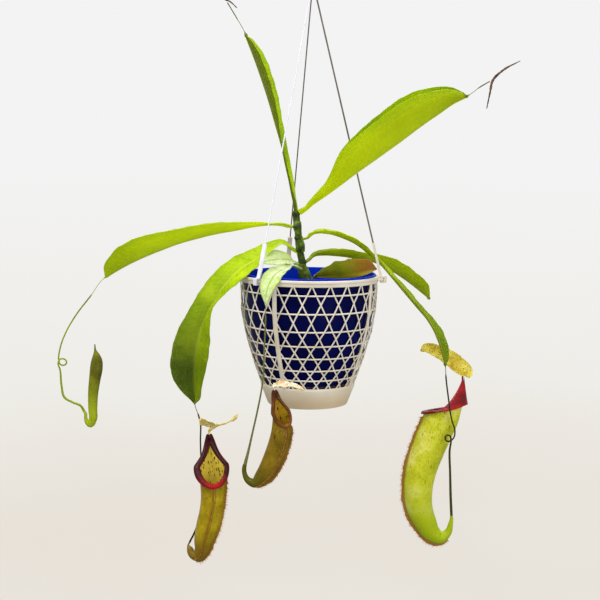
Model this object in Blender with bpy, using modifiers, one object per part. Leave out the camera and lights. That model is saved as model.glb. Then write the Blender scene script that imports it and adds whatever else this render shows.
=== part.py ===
# A hanging pot with a pitcher plant, modelled in metres with +Z up.
# The origin is the inside top of the hanger's hook, where a ceiling hook or rail carries it.
# Leaf and pitcher routes are in millimetres from the centre of the pot's rim.
import math
import random

import bmesh
import bpy
from mathutils import Matrix, Vector

MM = 0.001
GAP = 0.3

# Pot sizes, in millimetres
POT_HEIGHT = 148.5
RIM_RADIUS = 80.5
RIM_BAND = 7.0
BASE_RADIUS = 46.0
BASE_BAND = 23.0
# Outside radius of the woven wall at heights above the foot
WALL_PROFILE = [(0.0, 46.0), (20.0, 53.0), (40.0, 60.5), (62.0, 67.5), (85.5, 74.0), (107.5, 78.0), (148.5, 79.6)]
WALL_THICKNESS = 1.8
COLUMNS = 24
WEAVE_TURN = 2.0
BAR_WIDTH = 2.0
# Heights of the level bars above the foot, which divide the weave into rows
BAR_HEIGHTS = [23.5, 34.6, 46.2, 60.5, 75.0, 91.5, 111.7, 132.1, 141.5]
RIB_ANGLES = [-29.0, 61.0, 151.0, 241.0]
RIB_WIDTH = 5.2
LINER_CLEARANCE = 1.1
LINER_WALL = 1.6
LINER_RISE = 2.0
LINER_STEPS = 24
FLOOR_HEIGHT = 4.0
FLOOR_THICKNESS = 2.2
SOIL_DEPTH = 27.0
STEM_HOLE_RADIUS = 5.6
STEM_HOLE_DEPTH = 32.0

# Hanger sizes, in millimetres
HOOK_TO_RIM = 359.0
HOOK_ROD = 4.0
HOOK_BEND = 11.0
HEAD_TOP = -34.0
HEAD_BOTTOM = -44.0
HEAD_RADIUS = 6.5
STRAND_DIAMETER = 2.2
STRAND_SPREAD = 3.6
LUG_ANGLES = [-42.0, 78.0, 198.0]
LUG_WIDTH = 9.0
LUG_REACH = 87.0
LUG_TOP = -1.0
LUG_THICKNESS = 3.0
CLIP_RADIUS = 83.0
CLIP_WIDTH = 5.4
CLIP_WALL = 2.2
CLIP_HEIGHT = 38.0

# Plant sizes, in millimetres
STEM_RADIUS = 3.7
STEM_JOINT = 4.3
BLADE_THICKNESS = 0.9
TENDRIL_RADIUS = 0.9
FOLD_CURL = 12.0
HOLLOW_FROM = 8.0
TURN_PER_STEP = math.radians(36.0)

RIM_CENTRE = Vector((0.0, 0.0, -HOOK_TO_RIM * MM))


def make_collection(name):
    collection = bpy.data.collections.new(name)
    bpy.context.scene.collection.children.link(collection)
    return collection


def make_material(name, colour, roughness):
    material = bpy.data.materials.new(name)
    material.use_nodes = True
    shader = material.node_tree.nodes["Principled BSDF"]
    shader.inputs["Base Color"].default_value = (*colour, 1.0)
    shader.inputs["Roughness"].default_value = roughness
    shader.inputs["Metallic"].default_value = 0.0
    return material


for old in list(bpy.data.objects):
    bpy.data.objects.remove(old, do_unlink=True)

plant_parts = make_collection("hanging_pitcher_plant")
helpers = make_collection("cutters_and_guides")

WHITE = make_material("white_plastic", (0.80, 0.77, 0.70), 0.4)
BLUE = make_material("blue_plastic", (0.005, 0.03, 0.35), 0.3)
SOIL = make_material("soil", (0.06, 0.04, 0.025), 0.95)
STEM = make_material("stem", (0.10, 0.12, 0.03), 0.6)
LEAF = make_material("leaf", (0.33, 0.50, 0.02), 0.35)
OLD_LEAF = make_material("old_leaf", (0.25, 0.20, 0.03), 0.45)
PALE_LEAF = make_material("pale_leaf", (0.45, 0.60, 0.20), 0.35)
GREEN_PITCHER = make_material("green_pitcher", (0.45, 0.50, 0.08), 0.35)
OLIVE_PITCHER = make_material("olive_pitcher", (0.28, 0.24, 0.02), 0.35)
BROWN_PITCHER = make_material("brown_pitcher", (0.22, 0.14, 0.02), 0.45)
RED_LIP = make_material("red_lip", (0.25, 0.01, 0.03), 0.25)
LID = make_material("lid", (0.60, 0.42, 0.12), 0.5)
DRIED = make_material("dried_tip", (0.04, 0.02, 0.015), 0.8)


def from_rim(x, y, z):
    """A place given in millimetres from the rim's centre, in metres from the hook."""
    return RIM_CENTRE + Vector((x, y, z)) * MM


def add_object(name, mesh, material, collection=plant_parts):
    thing = bpy.data.objects.new(name, mesh)
    collection.objects.link(thing)
    if material is not None:
        mesh.materials.append(material)
    return thing


def mesh_from_bmesh(name, bm):
    mesh = bpy.data.meshes.new(name)
    bm.to_mesh(mesh)
    bm.free()
    return mesh


def shade_round(thing, sharp_angle=40.0):
    thing.data.shade_smooth()
    thing.data.set_sharp_from_angle(angle=math.radians(sharp_angle))


def smooth_points(points, spacing, wide_from=None):
    """Points on a smooth curve through the given ones, and where the given ones are in the list.

    The spacing is twice as wide from the given point numbered wide_from on.
    """
    points = [Vector(p) for p in points]
    lengths = [(b - a).to_3d().length for a, b in zip(points, points[1:])]
    slopes = []
    for i, point in enumerate(points):
        if i == 0:
            slopes.append((points[1] - point) / lengths[0])
        elif i == len(points) - 1:
            slopes.append((point - points[-2]) / lengths[-1])
        else:
            before = (point - points[i - 1]) / lengths[i - 1]
            after = (points[i + 1] - point) / lengths[i]
            slopes.append((before * lengths[i] + after * lengths[i - 1]) / (lengths[i] + lengths[i - 1]))
    result, marks = [points[0]], [0]
    for i, length in enumerate(lengths):
        turn = slopes[i].to_3d().angle(slopes[i + 1].to_3d())
        step = spacing * 2.0 if wide_from is not None and i >= wide_from else spacing
        steps = max(1, math.ceil(length / step), math.ceil(turn / TURN_PER_STEP))
        for k in range(1, steps + 1):
            t = k / steps
            h00, h10 = 2 * t**3 - 3 * t**2 + 1, t**3 - 2 * t**2 + t
            h01, h11 = -2 * t**3 + 3 * t**2, t**3 - t**2
            result.append(points[i] * h00 + slopes[i] * (h10 * length)
                          + points[i + 1] * h01 + slopes[i + 1] * (h11 * length))
        marks.append(len(result) - 1)
    return result, marks


def tangents(points):
    result = []
    for i in range(len(points)):
        before = points[max(i - 1, 0)].to_3d()
        after = points[min(i + 1, len(points) - 1)].to_3d()
        result.append((after - before).normalized())
    return result


def loft(name, rings, material):
    """One closed body through rings of equal point count, with matching triangles on both faces."""
    bm = bmesh.new()
    verts = [[bm.verts.new(p) for p in ring] for ring in rings]
    count = len(rings[0])
    for lower, upper in zip(verts, verts[1:]):
        for k in range(count):
            n = (k + 1) % count
            # the diagonal runs the same way on the upper and the lower face of a thin blade
            if k < count // 2:
                bm.faces.new((lower[k], lower[n], upper[n]))
                bm.faces.new((lower[k], upper[n], upper[k]))
            else:
                bm.faces.new((lower[k], lower[n], upper[k]))
                bm.faces.new((lower[n], upper[n], upper[k]))
    bm.faces.new(verts[0])
    bm.faces.new(verts[-1])
    bmesh.ops.remove_doubles(bm, verts=bm.verts, dist=0.000005)
    bmesh.ops.triangulate(bm, faces=[f for f in bm.faces if len(f.verts) > 4])
    bmesh.ops.recalc_face_normals(bm, faces=bm.faces)
    thing = add_object(name, mesh_from_bmesh(name, bm), material)
    shade_round(thing)
    return thing


def turned(name, profile, material, steps, collection=plant_parts, ring=False):
    """A body turned round the pot's axis from (radius, height above the foot) points.

    The profile runs from the axis over the top and down the outside, or closes on itself as a ring.
    """
    bm = bmesh.new()
    foot = -HOOK_TO_RIM - POT_HEIGHT
    verts = [bm.verts.new(((r * MM), 0.0, (foot + h) * MM)) for r, h in profile]
    for a, b in zip(verts, verts[1:]):
        bm.edges.new((a, b))
    if ring:
        bm.edges.new((verts[-1], verts[0]))
    thing = add_object(name, mesh_from_bmesh(name, bm), material, collection)
    screw = thing.modifiers.new("turn", "SCREW")
    screw.steps = steps
    screw.render_steps = steps
    screw.use_merge_vertices = True
    screw.merge_threshold = 0.00001
    screw.use_smooth_shade = True
    screw.use_normal_calculate = False
    return thing


def solid_copy(thing):
    """The object's evaluated mesh as a plain mesh object in the same place."""
    depsgraph = bpy.context.evaluated_depsgraph_get()
    depsgraph.update()
    mesh = bpy.data.meshes.new_from_object(thing.evaluated_get(depsgraph))
    bm = bmesh.new()
    bm.from_mesh(mesh)
    bmesh.ops.remove_doubles(bm, verts=bm.verts, dist=0.00001)
    bmesh.ops.recalc_face_normals(bm, faces=bm.faces)
    bm.to_mesh(mesh)
    bm.free()
    copy = bpy.data.objects.new(thing.name + "_solid", mesh)
    copy.matrix_world = thing.matrix_world
    helpers.objects.link(copy)
    bpy.data.objects.remove(thing, do_unlink=True)
    return copy


def union(name, things, material, solver="EXACT"):
    """One body from overlapping pieces, by one Boolean union on a collection."""
    pieces = [solid_copy(thing) for thing in things]
    gathered = make_collection(name + "_pieces")
    for piece in pieces[1:]:
        helpers.objects.unlink(piece)
        gathered.objects.link(piece)
    boolean = pieces[0].modifiers.new("join", "BOOLEAN")
    boolean.operation = "UNION"
    boolean.operand_type = "COLLECTION"
    boolean.collection = gathered
    boolean.solver = solver
    depsgraph = bpy.context.evaluated_depsgraph_get()
    mesh = bpy.data.meshes.new_from_object(pieces[0].evaluated_get(depsgraph))
    mesh.materials.clear()
    for piece in pieces:
        bpy.data.objects.remove(piece, do_unlink=True)
    bpy.data.collections.remove(gathered)
    bm = bmesh.new()
    bm.from_mesh(mesh)
    bmesh.ops.remove_doubles(bm, verts=bm.verts, dist=0.000001)
    bmesh.ops.dissolve_degenerate(bm, edges=bm.edges, dist=0.000001)
    bm.to_mesh(mesh)
    bm.free()
    joined = add_object(name, mesh, material)
    shade_round(joined, 30.0)
    return joined


def wall_radius(height):
    """Outside radius of the woven wall at a height above the foot."""
    for (h0, r0), (h1, r1) in zip(WALL_PROFILE, WALL_PROFILE[1:]):
        if height <= h1:
            return r0 + (r1 - r0) * (height - h0) / (h1 - h0)
    return WALL_PROFILE[-1][1]


def on_wall(degrees, height, outset=0.0):
    """A point of the woven wall at an angle from the front and a height above the foot."""
    radius = wall_radius(height) + outset
    angle = math.radians(degrees)
    return from_rim(radius * math.sin(angle), -radius * math.cos(angle), height - POT_HEIGHT)


def woven_wall():
    """The open weave as a sheet with a six-sided hole in each cell, given its thickness by Solidify."""
    bm = bmesh.new()
    step = 360.0 / COLUMNS
    rows = len(BAR_HEIGHTS) - 1
    half_bar = BAR_WIDTH / 2
    sheet_low, sheet_high = BASE_BAND - 5.0, POT_HEIGHT - 3.0

    def corner(degrees, height):
        return bm.verts.new(on_wall(degrees + WEAVE_TURN, height))

    cells = []
    for row in range(rows):
        low, high = BAR_HEIGHTS[row] + half_bar, BAR_HEIGHTS[row + 1] - half_bar
        is_top = row == rows - 1
        middle = high + BAR_WIDTH if is_top else (low + high) / 2
        bar_degrees = math.degrees(BAR_WIDTH / wall_radius(middle))
        half, quarter = step / 2 - bar_degrees * 0.62, step / 4 - bar_degrees * 0.16
        line = []
        for column in range(COLUMNS):
            centre = (column + 0.5 * (row % 2)) * step
            cell = {"L": corner(centre - half, middle), "R": corner(centre + half, middle),
                    "BL": corner(centre - quarter, low), "BR": corner(centre + quarter, low)}
            upper_half, upper_height = (half, sheet_high) if is_top else (quarter, high)
            cell["TL"] = corner(centre - upper_half, upper_height)
            cell["TR"] = corner(centre + upper_half, upper_height)
            line.append(cell)
        cells.append(line)
    foot_line = []
    for column in range(COLUMNS):
        centre = (column + 0.5) * step
        foot_line.append({"TL": corner(centre - step / 4, BAR_HEIGHTS[0]),
                          "TR": corner(centre + step / 4, BAR_HEIGHTS[0]),
                          "BL": corner(centre - step / 4, sheet_low),
                          "BR": corner(centre + step / 4, sheet_low)})

    for row in range(rows):
        for column in range(COLUMNS):
            cell, beside = cells[row][column], cells[row][(column + 1) % COLUMNS]
            # the cell above or below this crossing is half a column along
            along = column if row % 2 == 0 else (column + 1) % COLUMNS
            under = cells[row - 1][along] if row > 0 else foot_line[column]
            bm.faces.new((cell["R"], cell["BR"], under["TL"], under["TR"], beside["BL"], beside["L"]))
            if row < rows - 1:
                over = cells[row + 1][along]
                bm.faces.new((beside["L"], beside["TL"], over["BR"], over["BL"], cell["TR"], cell["R"]))
            else:
                bm.faces.new((cell["L"], cell["R"], cell["TR"], cell["TL"]))
                bm.faces.new((cell["R"], beside["L"], beside["TL"], cell["TR"]))
    for column in range(COLUMNS):
        here, beside = foot_line[column], foot_line[(column + 1) % COLUMNS]
        first = cells[0][(column + 1) % COLUMNS]
        bm.faces.new((here["TL"], here["BL"], here["BR"], here["TR"]))
        bm.faces.new((here["TR"], here["BR"], beside["BL"], beside["TL"]))
        bm.faces.new((here["TR"], beside["TL"], first["BR"], first["BL"]))
    bmesh.ops.recalc_face_normals(bm, faces=bm.faces)
    bmesh.ops.triangulate(bm, faces=bm.faces)
    sheet = add_object("weave", mesh_from_bmesh("weave", bm), None, helpers)
    thickness = sheet.modifiers.new("thickness", "SOLIDIFY")
    thickness.thickness = WALL_THICKNESS * MM
    thickness.offset = -1.0
    return sheet


def rib(degrees):
    """A flat upright band that crosses the weave from the foot to the rim."""
    rings = []
    for height in [BASE_BAND - 4.0] + BAR_HEIGHTS[1:-1] + [POT_HEIGHT - 3.0]:
        half = math.degrees(RIB_WIDTH / 2 / wall_radius(height))
        rings.append([on_wall(degrees - half, height, 0.5), on_wall(degrees + half, height, 0.5),
                      on_wall(degrees + half, height, -1.3), on_wall(degrees - half, height, -1.3)])
    return loft("rib", rings, None)


def lug(degrees):
    """A tab that stands out of the rim for one of the hanger's clips."""
    inner = RIM_RADIUS - 2.0
    bpy.ops.mesh.primitive_cube_add(size=1.0)
    tab = bpy.context.object
    tab.data.transform(Matrix.Diagonal((LUG_WIDTH * MM, (LUG_REACH - inner) * MM, LUG_THICKNESS * MM, 1.0)))
    tab.data.transform(Matrix.Translation((0.0, -(LUG_REACH + inner) / 2 * MM, (LUG_TOP - LUG_THICKNESS / 2) * MM)))
    tab.data.transform(Matrix.Rotation(math.radians(degrees), 4, "Z"))
    tab.data.transform(Matrix.Translation(RIM_CENTRE))
    return tab


def make_basket():
    inner_foot = BASE_RADIUS - 4.0
    lip = RIM_RADIUS - 3.4
    rim = turned("rim", [(RIM_RADIUS, POT_HEIGHT - 1.2), (RIM_RADIUS, POT_HEIGHT - RIM_BAND),
                         (lip, POT_HEIGHT - RIM_BAND), (lip, POT_HEIGHT), (RIM_RADIUS - 1.2, POT_HEIGHT)],
                 None, 2 * COLUMNS, helpers, ring=True)
    floor_top = FLOOR_HEIGHT + FLOOR_THICKNESS
    base = turned("base", [(0.0, floor_top), (wall_radius(floor_top) - 2.4, floor_top), (wall_radius(BASE_BAND) - 2.4, BASE_BAND),
                           (wall_radius(BASE_BAND) + 0.4, BASE_BAND), (BASE_RADIUS + 0.4, 0.0),
                           (inner_foot, 0.0), (inner_foot, FLOOR_HEIGHT), (0.0, FLOOR_HEIGHT)],
                  None, COLUMNS, helpers)
    pieces = [woven_wall(), rim, base]
    pieces += [rib(angle) for angle in RIB_ANGLES]
    pieces += [lug(angle) for angle in LUG_ANGLES]
    union("basket", pieces, WHITE)


def inner_radius(height):
    """Outside radius of the liner at a height above the foot."""
    return wall_radius(height) - WALL_THICKNESS - LINER_CLEARANCE


def make_liner_and_soil():
    floor = FLOOR_HEIGHT + FLOOR_THICKNESS + GAP
    top = POT_HEIGHT + LINER_RISE
    heights = [floor, 20.0, 40.0, 62.0, 85.5, 107.5, POT_HEIGHT - RIM_BAND - 1.0]
    outside = [(inner_radius(h) - 0.6, h) for h in heights]
    outside.append((RIM_RADIUS - 3.4 - 0.5, POT_HEIGHT - RIM_BAND + 1.0))
    outside.append((RIM_RADIUS - 3.4 - 0.5, top))
    inside = [(r - LINER_WALL, h) for r, h in outside[1:]]
    inside_floor = floor + LINER_WALL
    bottom_radius = outside[0][0] - LINER_WALL + 1.0
    profile = [(0.0, inside_floor), (bottom_radius, inside_floor)] + inside + list(reversed(outside)) + [(0.0, floor)]
    turned("liner", profile, BLUE, LINER_STEPS)

    soil_top = POT_HEIGHT - SOIL_DEPTH
    bed = [(bottom_radius - GAP, inside_floor + GAP)]
    bed += [(inner_radius(h) - 0.6 - LINER_WALL - 1.5 * GAP, h) for h in heights[1:6] if h < soil_top - 4.0]
    bed.append((inner_radius(soil_top) - 0.6 - LINER_WALL - 1.5 * GAP, soil_top - 3.0))
    crown = [(0.7 * inner_radius(soil_top), soil_top + 1.0), (STEM_HOLE_RADIUS + 6.0, soil_top + 2.5),
             (STEM_HOLE_RADIUS, soil_top + 2.0)]
    hole_floor = soil_top - STEM_HOLE_DEPTH
    profile = [(0.0, hole_floor), (STEM_HOLE_RADIUS, hole_floor)] + list(reversed(crown))
    profile += list(reversed(bed)) + [(0.0, inside_floor + GAP)]
    turned("soil", profile, SOIL, LINER_STEPS)
    return hole_floor


def tube(name, points, diameter, material, resolution=2, collection=plant_parts):
    """A round rod along points in metres, as a curve with filled caps."""
    data = bpy.data.curves.new(name, "CURVE")
    data.dimensions = "3D"
    data.bevel_depth = diameter / 2 * MM
    data.bevel_resolution = resolution
    data.use_fill_caps = True
    spline = data.splines.new("POLY")
    spline.points.add(len(points) - 1)
    for vertex, point in zip(spline.points, points):
        vertex.co = (*point, 1.0)
    thing = bpy.data.objects.new(name, data)
    collection.objects.link(thing)
    if material is not None:
        data.materials.append(material)
    return thing


def make_hanger():
    bend_centre = -HOOK_BEND + HOOK_ROD / 2
    hook = [Vector((0.0, 0.0, HEAD_TOP - 3.0)), Vector((0.0, 0.0, HEAD_TOP + 4.0))]
    for degrees in range(-50, 221, 30):
        angle = math.radians(degrees)
        hook.append(Vector((HOOK_BEND * math.cos(angle), 0.0, bend_centre + HOOK_BEND * math.sin(angle))))
    route, _ = smooth_points([p * MM for p in hook], 4.0 * MM)
    shank = tube("hook_shank", route, HOOK_ROD, None, 2, helpers)
    foot_offset = HOOK_TO_RIM + POT_HEIGHT
    head = turned("head", [(0.0, HEAD_TOP + foot_offset), (HEAD_RADIUS - 1.5, HEAD_TOP + foot_offset),
                           (HEAD_RADIUS, HEAD_TOP - 2.0 + foot_offset), (HEAD_RADIUS, HEAD_BOTTOM + foot_offset),
                           (0.0, HEAD_BOTTOM + foot_offset)], None, 16, helpers)
    union("hanger_hook", [head, shank], WHITE)

    for number, degrees in enumerate(LUG_ANGLES, start=1):
        angle = math.radians(degrees)
        outward = Vector((math.sin(angle), -math.cos(angle), 0.0))
        foot = RIM_CENTRE + outward * CLIP_RADIUS * MM + Vector((0, 0, (LUG_TOP + GAP + CLIP_WALL) * MM))
        head_point = outward * STRAND_SPREAD * MM + Vector((0, 0, (HEAD_BOTTOM - 0.7) * MM))
        along = (head_point - foot).normalized()
        strap_top = foot + along * CLIP_HEIGHT * MM
        make_clip(f"hanger_clip_{number}", angle, outward, foot, strap_top)
        bottom = strap_top + along * GAP * MM
        tube(f"hanger_strand_{number}", [bottom, (bottom + head_point) / 2, head_point], STRAND_DIAMETER, WHITE)


def make_clip(name, angle, outward, foot, strap_top):
    """A strap whose lower end hooks round the lug, drawn in the upright plane through the pot's axis."""
    lug_bottom = LUG_TOP - LUG_THICKNESS
    lean = (strap_top - foot)
    lean_out, lean_up = lean.dot(outward) / MM, lean.z / MM
    half = CLIP_WALL / 2
    base_up = LUG_TOP + GAP + CLIP_WALL
    outer = LUG_REACH + GAP
    across = Vector((lean_up, -lean_out)).normalized() * half
    outline = [
        (CLIP_RADIUS + lean_out - across.x, base_up + lean_up - across.y),
        (CLIP_RADIUS - half, base_up),
        (CLIP_RADIUS - half, LUG_TOP + GAP),
        (outer, LUG_TOP + GAP),
        (outer, lug_bottom - GAP),
        (CLIP_RADIUS - half + 0.5, lug_bottom - GAP),
        (CLIP_RADIUS - half + 0.5, lug_bottom - GAP - CLIP_WALL),
        (outer + CLIP_WALL, lug_bottom - GAP - CLIP_WALL),
        (outer + CLIP_WALL, base_up),
        (CLIP_RADIUS + half, base_up),
        (CLIP_RADIUS + lean_out + across.x, base_up + lean_up + across.y),
    ]
    data = bpy.data.curves.new(name, "CURVE")
    data.dimensions = "2D"
    data.fill_mode = "BOTH"
    data.extrude = CLIP_WIDTH / 2 * MM
    spline = data.splines.new("POLY")
    spline.points.add(len(outline) - 1)
    for vertex, (out, up) in zip(spline.points, outline):
        vertex.co = (out * MM, up * MM, 0.0, 1.0)
    spline.use_cyclic_u = True
    data.materials.append(WHITE)
    thing = bpy.data.objects.new(name, data)
    plant_parts.objects.link(thing)
    turn = Matrix.Rotation(angle - math.pi / 2, 4, "Z") @ Matrix.Rotation(math.pi / 2, 4, "X")
    thing.matrix_world = Matrix.Translation(RIM_CENTRE) @ turn
    return thing


def smooth_step(value):
    value = min(max(value, 0.0), 1.0)
    return value * value * (3.0 - 2.0 * value)


def rod_section(centre, forward, up, half_width, thickness):
    """Ten points round a stalk or tendril, paired so that they merge into six."""
    side = forward.cross(up) * (half_width * 0.87 * MM)
    tall = up * (thickness / 2 * MM)
    left, right = centre - side, centre + side
    return [left + tall / 2, left + tall / 2, centre + tall, right + tall / 2, right + tall / 2,
            right - tall / 2, right - tall / 2, centre - tall, left - tall / 2, left - tall / 2]


def blade_section(centre, forward, up, half_width, thickness, rises, keel, lifts):
    """Ten points round a folded blade: five along its upper face and five back along its lower face."""
    side = forward.cross(up)
    upper, lower = [], []
    for sign, rise, lift in ((-1.0, rises[0], lifts[0]), (1.0, rises[1], lifts[1])):
        inner, outer = math.radians(rise - FOLD_CURL), math.radians(rise + FOLD_CURL)
        half = half_width / 2
        middle = Vector((half * math.cos(inner), half * math.sin(inner)))
        edge = middle + Vector((half * math.cos(outer), half * math.sin(outer) + lift))
        for place, slope, share in ((middle, math.radians(rise), 1.0), (edge, outer, 0.7)):
            normal = Vector((-math.sin(slope), math.cos(slope))) * (thickness * share / 2)
            for face, offset in ((upper, normal), (lower, -normal)):
                flat = place + offset
                face.append(centre + (side * (sign * flat.x) + up * flat.y) * MM)
    over = centre + up * (thickness / 2 * MM)
    under = centre - up * ((thickness / 2 + keel) * MM)
    return [upper[1], upper[0], over, upper[2], upper[3], lower[3], lower[2], under, lower[0], lower[1]]


def leaf(name, material, route, blade, half_width, widest, facing, rises,
         stalk=2.6, wave=0.0, blunt=0.75, keel=1.2, spacing=11.0, tendril_end=TENDRIL_RADIUS, seed=1):
    """A leaf in one body: a stalk, a folded blade and the tendril that its midrib runs out into.

    route holds points in millimetres from the rim's centre, blade the first and last of them
    that the blade spans, facing the way that its upper face looks at both ends, and rises the
    steepness of its left and right half at both ends.
    Returns the place and direction of the tendril's end.
    """
    points, marks = smooth_points([from_rim(*p) for p in route], spacing * MM, blade[1])
    forward = tangents(points)
    reach = [0.0]
    for a, b in zip(points, points[1:]):
        reach.append(reach[-1] + (b - a).length / MM)
    begin, end = reach[marks[blade[0]]], reach[marks[blade[1]]]
    total = reach[-1]
    skew = math.log(0.5) / math.log(widest)
    draw = random.Random(seed)
    phases = (draw.uniform(0.0, 6.28), draw.uniform(0.0, 6.28))
    face_start, face_end = Vector(facing[0]), Vector(facing[1])
    rings = []
    up = None
    for point, along, at in zip(points, forward, reach):
        share = (at - begin) / (end - begin)
        if 0.0 < share < 1.0:
            shape = math.sin(math.pi * share**skew) ** blunt
        else:
            shape = 0.0
        base_width = stalk if share <= 0.0 else stalk + (TENDRIL_RADIUS - stalk) * min(share * 1.2, 1.0)
        width = max(base_width, half_width * shape)
        if share >= 1.0:
            width = TENDRIL_RADIUS
            if total > end:
                width += (tendril_end - TENDRIL_RADIUS) * (at - end) / (total - end)
        flatness = smooth_step((width - base_width) / 4.0) if share < 1.0 else 0.0
        thick = (1.7 * base_width if share < 1.0 else 2.0 * width) * (1.0 - flatness)
        thick = max(thick, BLADE_THICKNESS)
        if share <= 1.0 or up is None:
            hint = face_start.lerp(face_end, min(max(at / end, 0.0), 1.0))
        else:
            hint = up
        up = (hint - along * hint.dot(along)).normalized()
        turn = min(max(share, 0.0), 1.0)
        fold = [(first + (second - first) * turn) * flatness for first, second in zip(*rises)]
        ripple = wave * flatness * shape
        lifts = [ripple * math.sin(at * 0.35 + phase) for phase in phases]
        if flatness > 0.0:
            rings.append(blade_section(point, along, up, width, thick, fold, keel * flatness, lifts))
        else:
            rings.append(rod_section(point, along, up, width, thick))
    loft(name, rings, material)
    if total <= end + 0.5:
        return None
    return points[-1], forward[-1]


def mouth_offset(angle, frame, reach, slant, sweep, pinch):
    """Where a point of a slanted mouth lies from its centre: front at angle 0, neck at half a turn."""
    forward, front, side = frame
    back = max(0.0, -math.cos(angle))
    across = front * math.cos(angle) + side * (math.sin(angle) * (1.0 - pinch * back))
    rise = -math.cos(angle) * slant + sweep * back**3
    return (across + forward * rise) * reach * MM


def pitcher(name, material, base, stations, front, mouth, wall=1.3, wing=3.5, hollow=True, sides=14, tendril=0.9):
    """A pitcher from where its tendril enters to its mouth, hollow, with two toothed wings down its front.

    stations hold (x, y, z, radius) in millimetres from the rim's centre. mouth holds the slant of
    the opening, how much further it sweeps up at the back, and how far it narrows there, each as
    a share of its radius. Returns what a lip needs to stand on the mouth.
    """
    start, direction = base
    route = [(*(start + direction * GAP * MM), tendril), (*(start + direction * 3.0 * MM), tendril * 1.3)]
    route += [(*from_rim(x, y, z), radius) for x, y, z, radius in stations]
    points, _ = smooth_points(route, 10.0 * MM)
    forward = tangents(points)
    forward[0] = direction
    fronts = [None] * len(points)
    hint = Vector(front)
    for i in reversed(range(len(points))):
        fronts[i] = (hint - forward[i] * hint.dot(forward[i])).normalized()
        hint = fronts[i]
    last = len(points) - 1

    def ring(i, inset, toothed):
        centre, radius = points[i].to_3d(), points[i][3]
        frame = (forward[i], fronts[i], forward[i].cross(fronts[i]))
        shares = [value * smooth_step((i / last - 0.45) / 0.55) for value in mouth]
        result = []
        for k in range(sides):
            angle = 2.0 * math.pi * k / sides
            reach = radius - inset
            if toothed and k in (1, sides - 1) and radius > 6.0 and i < last - 1:
                reach += wing * (1.0 if i % 2 else 0.3)
            result.append(centre + mouth_offset(angle, frame, reach, *shares))
        return result

    rings = [ring(i, 0.0, wing > 0.0) for i in range(last + 1)]
    inner = []
    if hollow:
        deepest = min(i for i in range(last + 1) if points[i][3] > HOLLOW_FROM)
        inner = [ring(i, wall, False) for i in range(last, deepest, -2)]
    loft(name, rings + inner, material)
    return {"centre": points[last].to_3d(), "radius": points[last][3], "shape": mouth, "sides": sides,
            "frame": (forward[last], fronts[last], forward[last].cross(fronts[last]))}


def lip(name, material, mouth, neck, lean=1.0, flare=3.6, wall=1.3):
    """The rolled rim that stands on a pitcher's mouth, drawn up into a neck at its back.

    lean says how far the neck leans away from the mouth, or over it where it is negative.

    Returns the place at the neck's tip where a lid grows, and the way that it points there.
    """
    sides, centre, forward = mouth["sides"], mouth["centre"], mouth["frame"][0]
    turns = [2.0 * math.pi * k / sides for k in range(sides)]
    edge = [mouth_offset(a, mouth["frame"], mouth["radius"], *mouth["shape"]) for a in turns]
    # (outward, upward, share of the neck's length) round the roll, from its inner lower corner
    section = [(-wall - 0.2, GAP, 0.0), (-wall, 1.6, 0.0), (0.6, 2.4, 0.5), (flare - 1.0, 1.7, 1.0),
               (flare, -0.4, 1.0), (flare - 1.4, -0.5, 0.8), (0.5, GAP, 0.0)]
    bm = bmesh.new()
    verts = []
    for k, turn in enumerate(turns):
        way = (edge[(k + 1) % sides] - edge[k - 1]).normalized()
        out = (edge[k] - way * edge[k].dot(way)).normalized()
        up = way.cross(out)
        if up.dot(forward) < 0.0:
            up = -up
        pull = (out * lean + forward * 2.0).normalized() * neck * max(0.0, -math.cos(turn)) ** 4
        ring = [centre + edge[k] + (out * o + up * u + pull * share) * MM for o, u, share in section]
        verts.append([bm.verts.new(p) for p in ring])
        if k == sides // 2:
            away = (out * 2.0 + up).normalized()
            tip = (ring[3] + ring[4]) / 2 + away * 1.2 * GAP * MM
    count = len(section)
    for here, beside in zip(verts, verts[1:] + verts[:1]):
        for k in range(count):
            n = (k + 1) % count
            bm.faces.new((here[k], here[n], beside[n], beside[k]))
    bmesh.ops.recalc_face_normals(bm, faces=bm.faces)
    bmesh.ops.triangulate(bm, faces=bm.faces)
    thing = add_object(name, mesh_from_bmesh(name, bm), material)
    shade_round(thing)
    return tip, away


def from_rim_back(point):
    """A place in metres from the hook, given back in millimetres from the rim's centre."""
    return tuple((point - RIM_CENTRE) / MM)


def dried_tip(name, route, radii):
    """A shrivelled bud at a tendril's end: a thin rod, thickest in its middle."""
    points, _ = smooth_points([(*from_rim(*p), r) for p, r in zip(route, radii)], 6.0 * MM)
    forward = tangents(points)
    up = Vector((0.0, -1.0, 0.0))
    rings = []
    for point, along in zip(points, forward):
        up = (up - along * up.dot(along)).normalized()
        side = along.cross(up)
        ring = []
        for k in range(6):
            angle = math.pi * k / 3.0
            ring.append(point.to_3d() + (side * math.cos(angle) + up * math.sin(angle)) * point[3] * MM)
        rings.append(ring)
    loft(name, rings, DRIED)


STEM_ROUTE = [(0, 0, -58.7), (0, 0, -30), (-4, 0, -8), (-8, 0, 14), (-12, 0, 34), (-13, 0, 48), (-15, 0, 62),
              (-16, 0, 73)]


def stem_centre(height):
    """The stem's middle at a height above the rim, in millimetres."""
    for lower, upper in zip(STEM_ROUTE, STEM_ROUTE[1:]):
        if height <= upper[2]:
            share = (height - lower[2]) / (upper[2] - lower[2])
            return Vector(lower).lerp(Vector(upper), share)
    return Vector(STEM_ROUTE[-1])


def stem_radius(height):
    """The stem's radius at a height above the rim: thicker at each joint and below the soil's top."""
    if height < -20.0:
        return STEM_RADIUS + 0.9
    return STEM_RADIUS + (STEM_JOINT - STEM_RADIUS) * max(0.0, math.cos(height * 2.0 * math.pi / 14.0)) ** 2


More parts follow.
